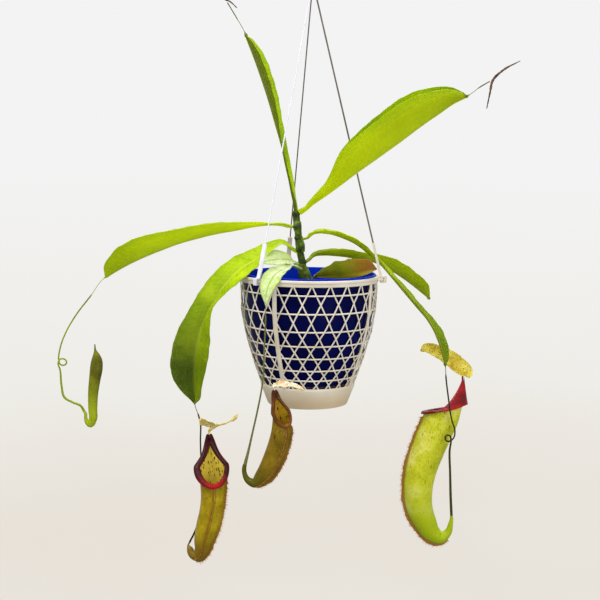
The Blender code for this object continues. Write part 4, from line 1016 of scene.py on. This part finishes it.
long_left, left_end = leaf_object(
    "long_left_leaf", from_stem(55.0, (-1.0, -0.1, 0.12), 2.2)
    + [(-33, -4, 57.5, 2.6), (-60, -7, 56, 5.5), (-85, -9, 51, 11.5), (-111, -10, 46, 16.3),
       (-130, -10, 41, 18.7), (-150, -10, 35, 21.2), (-168, -9, 28, 25.8), (-185, -8, 21, 29.5),
       (-200, -7, 14, 28.4), (-215, -5, 6, 23), (-225, -4, 0, 16), (-231, -3, -4, 7.5),
       (-234, -3, -6, 0.9), (-251, -4, -28, 0.85), (-268, -5, -50.5, 0.85), (-278.7, -6, -69, 0.85),
       (-285.8, -6, -88, 0.85)]
    + loop_of((-283.1, -104.2), 4.6, 4.1, (-4.0, -9.0), 180.0, 360.0, 0.9, 10)
    + [(-285.6, -9, -113, 1.0), (-284.4, -8, -131, 1.2), (-281, -7, -146, 1.3), (-271.4, -7, -151.5, 1.3),
       (-262.4, -7, -155.5, 1.4), (-258.4, -7, -162, 1.5)],
    (3, 15), ((0.0, 0.0, 1.0), (0.2, 0.0, 1.0)), ((52.0, 50.0), (50.0, 50.0)), LEAF,
    wave=0.3, seed=3, tones=(0.25, 0.15), painted_shade=(0.0, 0.4, 0.0))
placed(long_left, "leaf", "leaf_long_left")
drooping_left, front_left_end = leaf_object(
    "drooping_left_leaf", from_stem(27.0, (-0.7, -0.45, 0.6), 2.6)
    + [(-31, -10, 36.5, 4, 5.5), (-46, -15, 29.5, 8, 10), (-60.5, -20, 18.8, 14, 14),
       (-77.5, -26, 8, 20, 16.5), (-91, -32, -5.5, 20, 18.5), (-103.5, -37, -23, 18.5, 19.5),
       (-116, -43, -46.5, 21.5, 20.5), (-123.5, -47, -69.5, 25, 25), (-126.5, -49, -90, 25, 27),
       (-127.2, -49, -103.5, 21, 27), (-127.5, -48, -121.6, 14, 19.5), (-127, -46.5, -136, 9, 7.5),
       (-127, -45, -143.5, 0.9), (-123.5, -36, -159, 0.9), (-122, -25, -173, 0.9), (-122.5, -22, -190, 0.9),
       (-121.5, -24, -214, 0.9), (-119, -30, -247, 0.9), (-120, -40, -270, 1.0), (-126, -48, -290, 1.1),
       (-132, -53, -302, 1.1)],
    (3, 15), ((-0.15, -0.6, 0.8), (-0.2, -0.85, 0.5), (-0.2, -1.0, 0.2), (-0.1, -1.0, -0.2)),
    ((22.0, 14.0), (20.0, 14.0), (34.0, 16.0), (64.0, 18.0), (40.0, 16.0), (42.0, 14.0), (40.0, 14.0)), LEAF,
    wave=0.8, curl=26.0, seed=4, tones=(1.0, 1.0), painted_shade=(-0.45, 1.35, 0.3))
placed(drooping_left, "leaf", "leaf_drooping_left")
arching_right, right_end = leaf_object(
    "arching_right_leaf", from_stem(41.0, (0.95, 0.0, 0.3), 3.0)
    + [(4, -3, 47.5, 6), (23, 0, 48, 10), (38, 3, 43.5, 12), (55, 5, 35.5, 12), (69, 7, 24.5, 9),
       (83, 8, 12.5, 7), (97, 3, -3, 6.5), (110, -2, -18, 8), (123, -8, -33, 7), (136, -15, -48, 8, 9),
       (144, -20, -61, 10.5, 13), (151, -24, -77, 10, 12), (155, -27, -93, 6, 7), (156, -28, -99.5, 1.0),
       (157, -29, -113, 0.9), (160, -30, -135, 0.9), (165, -31, -163, 0.9), (168.5, -31, -174, 0.9),
       (167, -30.5, -183, 0.9)]
    + loop_of((161.4, -183.6), 3.4, 3.4, (-29.5, -25.0), -50.0, -310.0, 1.0, 8)
    + [(164, -24, -199, 1.2), (166, -18, -226, 1.3), (168.5, -10, -258, 1.5), (170.5, -6, -281, 1.6)],
    (3, 16), ((0.0, 0.0, 1.0), (0.1, 0.0, 1.0), (0.5, -0.2, 0.8), (0.75, -0.6, 0.35)),
    ((24.0, 18.0), (20.0, 22.0), (25.0, 30.0), (22.0, 26.0)), LEAF, wave=0.4, seed=5, tones=(1.0, 0.8),
    painted_shade=(0.1, 0.75, 0.0))
placed(arching_right, "leaf", "leaf_arching_right")
rear_right, _ = leaf_object(
    "rear_right_leaf", from_stem(14.0, (0.6, 0.6, 0.5), 2.8)
    + [(6, 12, 21, 4.5), (18, 20, 22, 8), (30, 27, 21, 10.5), (42, 33, 19.5, 12), (65, 42, 14.5, 12.5),
       (78, 45, 12, 14), (90, 47, 7, 18), (107, 49, -3, 20.5), (123, 50, -14, 19), (137, 51, -25, 14),
       (143, 51, -30, 4), (145, 51, -33, 0.8)],
    (3, 14), ((0.0, 0.0, 1.0), (0.3, 0.0, 1.0)), ((40.0, 45.0), (40.0, 45.0)), LEAF, wave=0.4, seed=6,
    painted_shade=(0.42, 0.52, 0.0))
placed(rear_right, "leaf", "leaf_rear_right")
old_right, _ = leaf_object(
    "old_right_leaf", from_stem(-8.0, (0.7, -0.6, 0.4), 1.8)
    + [(8, -18, 0, 2.6), (15, -27, 0.5, 8), (23, -36, 1, 14), (32, -41, 1.2, 20.5), (40, -46, 1.8, 22.5),
       (49, -46, 3, 23.5), (57, -45, 4.5, 22), (64, -41, 6.5, 18.5), (70, -36, 8.5, 10), (75, -31, 11, 0.8)],
    (3, 12), ((0.0, 0.0, 1.0), (0.0, 0.1, 1.0)), ((58.0, 60.0), (58.0, 60.0)), OLD_LEAF, wave=0.3, seed=7)
placed(old_right, "old_leaf", "leaf_old_right")
pale_front, front_end = leaf_object(
    "pale_front_leaf", from_stem(6.0, (-0.35, -0.9, 0.25), 1.8)
    + [(-20, -24, 12, 4), (-28.5, -42, 9.5, 8), (-37, -60, 5.5, 10.5), (-43, -75, -2.5, 10.5),
       (-46.3, -85, -12, 7), (-46.8, -88.5, -25, 0.9), (-47, -88, -42, 0.9), (-48, -88, -75, 0.9),
       (-50, -86, -113, 0.9), (-55, -84, -142, 1.0), (-60.5, -81.5, -168, 1.1), (-64.5, -80, -187, 1.4),
       (-68.5, -79, -204, 2.0)],
    (3, 8), ((0.0, -0.2, 1.0), (-0.1, -0.7, 0.7), (-0.2, -1.0, 0.1)), ((16.0, 20.0), (16.0, 20.0)),
    PALE_LEAF, wave=0.6, seed=8, tones=(1.0, 0.9))
placed(pale_front, "pale_leaf", "leaf_pale_front")
pale_left, _ = leaf_object(
    "pale_left_leaf", from_stem(11.0, (-0.75, -0.5, 0.45), 1.8)
    + [(-22, -14, 17.5, 8), (-32, -21, 19, 12), (-43, -28, 18, 11.5), (-50, -33, 17, 7.5),
       (-55.5, -37, 16.5, 0.8)],
    (2, 7), ((-0.1, -0.75, 0.7), (-0.1, -0.75, 0.7)), ((16.0, 16.0), (16.0, 16.0)), PALE_LEAF,
    wave=0.5, seed=9)
placed(pale_left, "pale_leaf", "leaf_pale_left")

# Dried tips.
# Two tendrils have withered at the end into thin dark twists.
# Each twist is a tapered rod of uneven thickness at the end of its tendril.
DRIED, dried_shader, dried_place = mottled_finish(
    "dried_tissue", 0.8, 200.0, 4.0, (0.3, paint(48, 34, 28)), (0.7, paint(120, 92, 70)),
    Specular_IOR_Level=0.2)
bumped(dried_shader, noise(dried_place, 1200.0, 4.0), 0.6, 0.0004)
for name, node, route in (
        ("dried_upright_tip", "dried_tip_upright",
         [(-102, 10, 315, 0.4), (-98, 10, 309.5, 1.2), (-93.5, 10, 307.4, 1.0), (-85, 9, 300, 0.4)]),
        ("dried_right_tip", "dried_tip_right",
         [(188.5, -66, 188, 0.5), (191.5, -66.4, 205, 1.1), (194, -66.4, 217.8, 1.5), (205, -66, 229, 1.2),
          (223, -66, 239, 0.4)])):
    tip_places, _ = smooth_route([(*from_rim(x, y, z), r) for x, y, z, r in route], 1.2 * MM)
    draw = random.Random(21)
    tip_radii = [place[3] * MM * draw.uniform(0.75, 1.15) for place in tip_places]
    placed(new_object(name, rod_mesh(name, tip_places, tip_radii, 12), DRIED), "dried", node)

# Pitchers.
# Each open pitcher is a hollow swelling of a tendril's end, with two fringed wings and a rolled, ribbed lip
# that draws up at the back of its slanted mouth into a neck. The young one is still closed and has neither.
PITCHER_SIDES = 64
PITCHER_WALL = 1.3
PITCHER_ROUGHNESS = 0.34
WING_THICKNESS = 0.8
HAIRS_PER_MM = 1.3
LIP_RIBS = 90
POINTS_PER_RIB = 5
LIP_RIB_HEIGHT = 0.17
LID_CURL = 30.0


def mouth_offset(angle, axes, reach, slant, sweep, pinch):
    """Where a point of a slanted mouth lies from its middle: front at angle 0, neck at half a turn."""
    along, front, side = axes
    back = max(0.0, -math.cos(angle))
    across = front * math.cos(angle) + side * (math.sin(angle) * (1.0 - pinch * back))
    rise = -math.cos(angle) * slant + sweep * back**3
    return (across + along * rise) * reach * MM


def fringe_tree():
    """A tree that sets hairs along a wing's crest. It takes their number, length, seed and finish."""
    tree, given = geometry_tree("fringe_hairs", "Hairs", Crest="Geometry", Count="Int", Length="Float",
                                Seed="Int", Finish="Material")
    places = output_of(tree, "GeometryNodeCurveToPoints", {
        "Curve": output_of(tree, "GeometryNodeMeshToCurve", {"Mesh": given["Crest"]}),
        "Count": given["Count"]}, mode="COUNT")
    out = output_of(tree, "GeometryNodeInputNamedAttribute", {"Name": "out"}, data_type="FLOAT_VECTOR")
    way = output_of(tree, "ShaderNodeVectorMath", {
        0: out, 1: drawn(given["Seed"], (-0.5, -0.5, -0.5), (0.5, 0.5, 0.5))}, operation="ADD")
    hair = output_of(tree, "GeometryNodeMeshCone", {
        "Vertices": 4, "Radius Top": 0.04 * MM, "Radius Bottom": 0.26 * MM, "Depth": given["Length"]})
    return ended(tree, output_of(tree, "GeometryNodeInstanceOnPoints", {
        "Points": places, "Scale": drawn(given["Seed"], 0.45, 1.1),
        "Instance": output_of(tree, "GeometryNodeTransform", {
            "Geometry": hair, "Translation": (0, 0, -0.4 * MM)}),
        "Rotation": output_of(tree, "FunctionNodeAlignRotationToVector", {"Vector": way}, axis="Z")}),
        given["Finish"])


HAIRS = fringe_tree()
FRINGE, *_ = mottled_finish(
    "fringe", 0.6, 300.0, 3.0,
    (0.3, paint(140, 76, 24)), (0.5, paint(182, 118, 44)), (0.7, paint(206, 160, 76)), Specular_IOR_Level=0.2)


def pitcher_object(name, base, stations, front, mouth, material, hollow=True, tendril=0.9, wings=(),
                   hair=2.2):
    """A pitcher from its tendril's end to its mouth. stations hold (x, y, z, radius) in millimetres.

    wings hold the angle and height of each wing. Returns the object and what a lip needs to stand on it.
    """
    start, way = base
    route = [(*(start - way * 0.4 * MM), tendril), (*(start + way * 3.0 * MM), tendril * 1.2)]
    route += [(*from_rim(x, y, z), radius) for x, y, z, radius in stations]
    points, _ = smooth_route(route, 2.0 * MM)
    ways = ways_along(points)
    ways[0] = way
    fronts = [None] * len(points)
    hint = Vector(front)
    for i in reversed(range(len(points))):
        fronts[i] = (hint - ways[i] * hint.dot(ways[i])).normalized()
        hint = fronts[i]
    last = len(points) - 1

    def place(i, angle, inset):
        axes = (ways[i], fronts[i], ways[i].cross(fronts[i]))
        shares = [value * smooth_step((i / last - 0.45) / 0.55) for value in mouth]
        return place_of(points[i]) + mouth_offset(angle, axes, points[i][3] - inset, *shares)

    turns = [2 * math.pi * k / PITCHER_SIDES for k in range(PITCHER_SIDES)]
    rings = [(i / last, 0.0, [place(i, turn, 0.0) for turn in turns]) for i in range(last + 1)]
    if hollow:
        deepest = min(i for i in range(last + 1) if points[i][3] > 8.0)
        rings += [(i / last, 1.0, [place(i, turn, PITCHER_WALL) for turn in turns])
                  for i in range(last, deepest, -2)]
    bm = bmesh.new()
    layers = [bm.verts.layers.float.new(layer) for layer in ("share", "inside", "around", "wing")]
    verts = []
    for share, inside, ring in rings:
        line = [bm.verts.new(p) for p in ring]
        for vert, turn in zip(line, turns):
            around = math.degrees(min(turn, 2 * math.pi - turn))
            for layer, value in zip(layers, (share, inside, around, 0.0)):
                vert[layer] = value
        verts.append(line)
    skinned(bm, verts)
    # each wing is a thin crest along the front, with a toothed edge that carries hairs
    meshes = []
    for number, (degrees, height) in enumerate(wings):
        turn = math.radians(degrees)
        draw = random.Random(int(40 + degrees))
        lines, crest, outs = [], [], []
        for i in range(last - 1):
            radius = points[i][3]
            if radius < 5.5:
                continue
            grow = min(1.0, (radius - 5.0) / 3.0)
            tall = grow * height * draw.uniform(0.7, 1.1)
            root = place(i, turn, 0.6)
            out = (place(i, turn, 0.0) - place_of(points[i])).normalized()
            half = ways[i].cross(out).normalized() * (WING_THICKNESS / 2 * MM)
            edge = root + out * (tall + 0.6) * MM
            corners = (root - half, edge - half * 0.5, edge + half * 0.5, root + half)
            line = [bm.verts.new(p) for p in corners]
            for vert, value in zip(line, (0.2, 1.0, 1.0, 0.2)):
                vert[layers[0]], vert[layers[3]] = i / last, value
            lines.append(line)
            crest.append(edge)
            outs.append(out)
        skinned(bm, lines)
        path = bpy.data.meshes.new("crest")
        path.from_pydata(crest, [(i, i + 1) for i in range(len(crest) - 1)], [])
        path.attributes.new("out", "FLOAT_VECTOR", "POINT").data.foreach_set(
            "vector", [value for out in outs for value in out])
        reach = sum((b - a).length for a, b in zip(crest, crest[1:])) / MM
        meshes.append(made_by(HAIRS, path, Count=int(reach * HAIRS_PER_MM), Length=hair * MM, Seed=number,
                              Finish=FRINGE))
    body = mesh_of(name, bm, 60.0)
    body.materials.append(material)
    thing = joined(name, [body] + meshes)
    return thing, {"middle": place_of(points[last]), "radius": points[last][3], "shape": mouth,
                   "axes": (ways[last], fronts[last], ways[last].cross(fronts[last]))}


def lip_object(name, mouth, neck, material, lean=1.0, flare=3.6, gather=4.0, heavy=(0.0, 0.0), slimmer=0.0,
               lifts=((0.0, 0.0), (1.0, 1.0))):
    """The rolled rim of a mouth. Returns it, and the place and way in which its lid grows.

    The neck draws up over the back, more narrowly as gather grows. heavy is an angle in degrees
    round the mouth where the lip rolls further out, and by how many millimetres. slimmer thins its back.
    lifts pair places across the lip, from its inner edge at 0 to its outer edge at 1, with the share of
    the neck's height that they rise by.
    """
    sides = LIP_RIBS * POINTS_PER_RIB
    turns = [2 * math.pi * k / sides for k in range(sides)]
    edge = [mouth_offset(a, mouth["axes"], mouth["radius"], *mouth["shape"]) for a in turns]
    wall = PITCHER_WALL
    corners = [(-wall - 0.2, 0.1, 0.0), (-wall, 1.6, 0.0), (0.6, 2.4, 0.5), (flare - 1.0, 1.7, 1.0),
               (flare, -0.4, 1.0), (flare - 1.4, -0.5, 0.8), (0.5, 0.1, 0.0)]
    section = []
    count = len(corners)
    for i in range(count):
        p0, p1, p2, p3 = (Vector(corners[(i + j) % count]) for j in (-1, 0, 1, 2))
        for t in (0.0, 1 / 3, 2 / 3):
            section.append((p1 * 2 + (p2 - p0) * t + (p0 * 2 - p1 * 5 + p2 * 4 - p3) * t**2
                            + (p1 * 3 - p0 - p2 * 3 + p3) * t**3) / 2)
    bm = bmesh.new()
    layers = [bm.verts.layers.float.new(layer) for layer in ("around", "rib")]
    verts = []
    for k, turn in enumerate(turns):
        way = (edge[(k + 1) % sides] - edge[k - 1]).normalized()
        out = (edge[k] - way * edge[k].dot(way)).normalized()
        up = way.cross(out)
        if up.dot(mouth["axes"][0]) < 0.0:
            up = -up
        pull = (out * lean + mouth["axes"][0] * 2.0).normalized() * neck
        pull *= max(0.0, -math.cos(turn)) ** gather
        wave = math.cos(turn * LIP_RIBS)
        apart = (math.degrees(turn) - heavy[0] + 180.0) % 360.0 - 180.0
        more = heavy[1] * math.exp(-(apart / 38.0) ** 2)
        slim = 1.0 - slimmer * max(0.0, -math.cos(turn)) ** 8
        ring = []
        for o, u, share in section:
            o, u = (o + wall) * slim - wall, u * slim
            proud = LIP_RIB_HEIGHT * wave if u > 0.3 else 0.0
            roll = more * max(share, 0.0)
            lift = between(lifts, min(max(share, 0.0), 1.0))
            ring.append(mouth["middle"] + edge[k] + (out * (o + roll) + up * (u + proud - roll * 0.35)
                                                     + pull * lift) * MM)
        line = [bm.verts.new(p) for p in ring]
        for vert in line:
            vert[layers[0]], vert[layers[1]] = math.degrees(min(turn, 2 * math.pi - turn)), wave
        verts.append(line)
        if k == sides // 2:
            away = (out * 2.0 + up).normalized()
            tip = ring[6] if lifts[-1][1] < 1.0 else (ring[9] + ring[12]) / 2
    return new_object(name, mesh_of(name, skinned(bm, verts, closed=True), 75.0), material), (tip, away)


def lid_object(name, root, places, facings, rises, material, ragged=0.0, first_half=1.1):
    """A pitcher's lid, a small blade that grows from the neck of its lip. places hold its stations."""
    start, way = root
    first = (start - Vector((0.0, 0.0, RIM_LEVEL))) / MM
    stations = [(*(first - way * 0.8), first_half), (*first, first_half),
                (*(first + way * 2.0), first_half + 0.2)]
    return leaf_object(name, stations + places, (2, len(places) + 2), facings, rises, material,
                       wave=0.7, keel=0.3, curl=LID_CURL, spacing=1.1, ragged=ragged, seed=12)[0]


def pitcher_finish(name, shades, tail, tail_end, inner, fleck, fleck_share, band=0.0):
    """A pitcher's skin: mottled and flecked outside, greener at its tail, pale with dark spots inside.

    band is how many degrees to each side of its front are tanned.
    """
    material, shader, place = finish_named(name, PITCHER_ROUGHNESS, Specular_IOR_Level=0.16,
                                           Subsurface_Weight=0.08, Subsurface_Scale=0.002)
    share, around = number_of(place, "share"), number_of(place, "around")
    low, middle, high = shades
    skin = ramp(noise(place, 40.0, 5.0), (0.3, low), (0.5, middle), (0.7, high))
    skin = mixed(spread(share, tail_end, tail_end * 0.45), skin, tail)
    small = flecks_of(place, 800.0, 0.35, fleck_share, 0.42)
    large = flecks_of(place, 300.0, 0.3, fleck_share * 0.5, 0.28)
    high_up = spread(share, 0.3, 0.95, 0.35, 1.0)
    skin = mixed(times(reckon("MAXIMUM", times(small, 0.7), large), high_up), skin, fleck)
    if band > 0.0:
        from_front = plus(around, times(noise(place, 260.0), 10.0))
        skin = mixed(spread(from_front, band + 4.0, band - 4.0, 0.0, 0.8), skin, paint(150, 106, 36))
    # a double seam of dark lines runs down the front, between the wings
    seam = spread(reckon("ABSOLUTE", reckon("SUBTRACT", around, 4.0)), 1.2, 3.2, 0.6, 0.0)
    skin = mixed(seam, skin, fleck)
    spots = flecks_of(place, 420.0, 0.45, 0.78, 0.36)
    skin = mixed(number_of(place, "inside"), skin, mixed(spots, inner, paint(70, 26, 20)))
    skin = mixed(spread(number_of(place, "wing"), 0.3, 0.9), skin, paint(150, 98, 40))
    feed(shader, Base_Color=skin, Roughness=spread(
        noise(place, 120.0), 0.3, 0.7, PITCHER_ROUGHNESS - 0.07, PITCHER_ROUGHNESS + 0.1))
    long_grain = output_of(place, "ShaderNodeVectorMath", {0: place, 1: (1.0, 1.0, 0.18)},
                           operation="MULTIPLY")
    bumped(shader, noise(long_grain, 420.0, 4.0), 0.35, 0.0006)
    return material


RUST_FLECK, INNER_YELLOW = paint(116, 60, 16), paint(212, 190, 70)
OLIVE = pitcher_finish("olive_pitcher", (paint(136, 116, 4), paint(168, 146, 8), paint(192, 172, 24)),
                       paint(120, 96, 10), 0.5, INNER_YELLOW, RUST_FLECK, 0.6)
GREEN = pitcher_finish("green_pitcher", (paint(166, 176, 12), paint(204, 206, 44), paint(234, 230, 124)),
                       paint(160, 178, 8), 0.62, INNER_YELLOW, paint(146, 124, 20), 0.55, band=25.0)
BROWN = pitcher_finish("brown_pitcher", (paint(92, 72, 4), paint(124, 100, 8), paint(150, 124, 24)),
                       paint(84, 82, 6), 0.45, paint(176, 140, 30), paint(76, 36, 10), 0.5)
YOUNG = pitcher_finish("young_pitcher", (paint(70, 66, 6), paint(98, 98, 8), paint(126, 128, 18)),
                       paint(158, 172, 20), 0.66, INNER_YELLOW, paint(60, 40, 14), 0.35)


def lip_finish(name, low, high, bright, roughness, from_front, coat=0.12):
    """A glossy lip, ribbed across with painted shade in its grooves, whose front takes on another tone over
    some degrees to each side.
    """
    material, shader, place = finish_named(name, roughness, Specular_IOR_Level=0.12, Coat_Weight=coat,
                                           Coat_Roughness=0.1)
    skin = ramp(noise(place, 70.0, 4.0), (0.35, low), (0.7, high))
    at = plus(number_of(place, "around"), times(noise(place, 80.0), 50.0))
    skin = mixed(spread(at, from_front, from_front + 60.0, 0.9, 0.0), skin, bright)
    # the grooves between the ribs are darkened with painted shade
    feed(shader, Base_Color=mixed(spread(number_of(place, "rib"), -1.0, 0.2, 0.45, 0.0), skin, low))
    bumped(shader, noise(place, 600.0), 0.2, 0.0003)
    return material


RED_LIP = lip_finish("red_lip", paint(38, 0, 6), paint(80, 2, 12), paint(186, 14, 24), 0.3, 32.0)
SCARLET_LIP = lip_finish("scarlet_lip", paint(104, 2, 8), paint(186, 16, 22), paint(70, 2, 10), 0.26, 60.0,
                         0.25)
BROWN_LIP = lip_finish("brown_lip", paint(72, 36, 8), paint(112, 62, 16), paint(140, 84, 24), 0.36, 35.0)


def lid_finish(name, low, middle, high, fleck, fleck_share, roughness):
    """A thin lid, mottled, flecked and faintly netted."""
    material, shader, place = finish_named(name, roughness, Specular_IOR_Level=0.25)
    skin = ramp(noise(place, 130.0, 5.0), (0.32, low), (0.5, middle), (0.68, high))
    marks = reckon("MAXIMUM", flecks_of(place, 900.0, 1.0, fleck_share, 0.42),
                   flecks_of(place, 520.0, 1.0, fleck_share * 0.6, 0.34))
    feed(shader, Base_Color=mixed(times(marks, 0.85), skin, fleck))
    bumped(shader, leaf_veins_of(place, Vein_Step=1.6, Slant=5.0, Net_Scale=1500.0)["Height"], 0.5, 0.0004)
    return material


LID = lid_finish("speckled_lid", paint(182, 152, 26), paint(214, 194, 52), paint(230, 216, 96),
                 paint(120, 66, 22), 0.5, 0.45)
PALE_LID = lid_finish("pale_lid", paint(206, 170, 70), paint(232, 212, 120), paint(244, 236, 180),
                      paint(130, 70, 30), 0.4, 0.5)
DRY_LID = lid_finish("dried_lid", paint(218, 172, 100), paint(244, 228, 194), paint(252, 246, 232),
                     paint(150, 96, 50), 0.2, 0.7)

young, _ = pitcher_object(
    "young_pitcher", left_end,
    [(-257, -7, -168.5, 1.9), (-255, -7, -174.5, 2.9), (-251.6, -7, -177, 4.0), (-248.8, -7, -172, 4.6),
     (-248.6, -7, -158, 5.2), (-248, -7, -140, 5.9), (-246, -7, -124, 6.6), (-244, -7, -110, 7.2),
     (-243.5, -7, -102, 6.4), (-244.2, -7, -95, 3.8), (-245.2, -7, -90, 1.4), (-245.7, -7, -83, 0.6)],
    (0.9, -0.4, 0.0), (0.0, 0.0, 0.0), YOUNG, hollow=False, tendril=1.5)
placed(young, "olive_pitcher", "pitcher_young")

front_left, mouth = pitcher_object(
    "front_left_pitcher", front_left_end,
    [(-131.5, -56, -308, 3.4), (-128, -59, -314, 4.6), (-122, -61, -315, 6.2), (-117.5, -62, -308, 8.2),
     (-115, -62, -296, 11.0), (-111, -62, -280, 12.8), (-107, -62, -262, 13.0), (-105, -62, -245, 13.5),
     (-105, -62, -228, 14.5), (-106, -62, -211, 15.0)],
    (0.15, -0.98, 0.1), (1.2, 0.5, 0.9), OLIVE, wings=((-8.0, 0.9), (63.0, 2.8)), hair=3.4)
placed(front_left, "olive_pitcher", "pitcher_front_left")
front_left_lip, lid_root = lip_object("front_left_lip", mouth, 8.5, RED_LIP, flare=4.2, gather=4.0,
                                      heavy=(-72.0, 2.0), slimmer=0.78)
placed(front_left_lip, "red_lip", "lip_front_left")
front_left_lid = lid_object(
    "front_left_lid", lid_root,
    [(-106, -48, -167.5, 4.2), (-110, -53, -164.5, 7.0), (-114, -57, -161.5, 7.4), (-118, -60, -159, 5.0),
     (-120.5, -61, -158, 0.8)],
    ((-0.4, -0.9, -0.3), (-0.4, -0.9, -0.3)), ((14.0, 14.0), (14.0, 14.0)), PALE_LID, ragged=0.3)
lid_arm, _ = leaf_object(
    "lid_arm", [(-107.5, -46, -169.5, 1.2), (-104, -50, -167.5, 2.0), (-98, -56, -164.5, 1.3),
                (-92, -60, -162.5, 0.9), (-86, -62, -159, 1.0), (-82, -63, -156.5, 2.0),
                (-79.5, -63, -153.5, 1.9), (-78.5, -63, -150.5, 0.5)],
    (1, 7), ((0.1, -0.7, 0.7), (0.1, -0.8, 0.6)), ((20.0, 20.0), (20.0, 20.0)), PALE_LID, wave=0.4,
    keel=0.1, curl=20.0, spacing=1.1, ragged=0.3, seed=14)
lid_meshes = [front_left_lid.data, lid_arm.data]
for thing in (front_left_lid, lid_arm):
    bpy.data.objects.remove(thing, do_unlink=True)
placed(joined("front_left_lid", lid_meshes, PALE_LID), "lid", "lid_front_left")

right, mouth = pitcher_object(
    "right_pitcher", right_end,
    [(170, -5, -291, 2.8), (167, -4, -302, 4.6), (159, -4, -308, 7.2), (149, -4, -303, 10.2),
     (140, -4, -289, 13.2), (133, -4, -272, 15.4), (131, -4, -251, 16.8), (134, -4, -227, 18.2),
     (140, -4, -207, 19.2), (147, -4, -188, 20.0), (153, -4, -172, 20.2), (157.5, -4, -156, 20.2)],
    (-0.93, 0.34, 0.0), (0.5, 0.35, 0.2), GREEN, tendril=1.6, wings=((26.0, 3.6), (-26.0, 3.6)), hair=3.2)
placed(right, "green_pitcher", "pitcher_right")
right_lip, lid_root = lip_object("right_lip", mouth, 29.0, SCARLET_LIP, lean=-0.75, flare=3.4, gather=1.8,
                                 heavy=(180.0, 1.2),
                                 lifts=((0.0, 0.0), (0.3, 0.95), (0.5, 1.0), (0.7, 0.93), (1.0, -0.12)))
placed(right_lip, "red_lip", "lip_right")
placed(lid_object("right_lid", lid_root,
                  [(184.5, -4, -111.5, 7), (179.5, -5, -107, 9.5), (172, -6, -101.5, 10), (162, -7, -94, 10),
                   (151, -8, -88, 9), (141, -8, -84, 7.4), (134, -8, -83.5, 5.6), (129.5, -8, -86, 0.7)],
                  ((0.6, -0.8, 0.1), (-0.1, -0.85, 0.5), (-0.1, -0.8, 0.6), (-0.1, -0.7, 0.7)),
                  ((14.0, 14.0), (14.0, 14.0)), LID, first_half=2.4), "lid", "lid_right")

front_pitcher, mouth = pitcher_object(
    "front_pitcher", front_end,
    [(-69, -78.5, -214, 2.6), (-65.5, -79.5, -221, 3.6), (-58.5, -81.5, -224, 5.2), (-48.5, -83, -215, 8.6),
     (-40, -84, -201, 10.5), (-34.5, -85, -186, 11.2), (-30.5, -86, -170, 11.6), (-29, -87, -156, 11.4),
     (-29.5, -87.5, -143, 10.0)],
    (0.55, -0.8, 0.0), (1.4, 0.2, 0.6), BROWN, tendril=2.0, wings=((-5.0, 0.9), (45.0, 3.2)), hair=2.6)
placed(front_pitcher, "brown_pitcher", "pitcher_front")
front_lip, lid_root = lip_object("front_lip", mouth, 7.0, BROWN_LIP, flare=2.4, gather=6.0, slimmer=0.4)
placed(front_lip, "brown_pitcher", "lip_front")
placed(lid_object("front_dried_lid", lid_root,
                  [(-37, -79, -116, 3.6), (-31.5, -82, -113.5, 5.2), (-23, -86, -112.5, 4.6),
                   (-13, -90, -113.5, 3.4), (-4, -94, -117, 0.7)],
                  ((-0.3, -0.5, 1.0), (0.0, -0.4, 1.0)), ((18.0, 8.0), (24.0, 10.0)), DRY_LID, ragged=0.8),
       "dried", "lid_front")
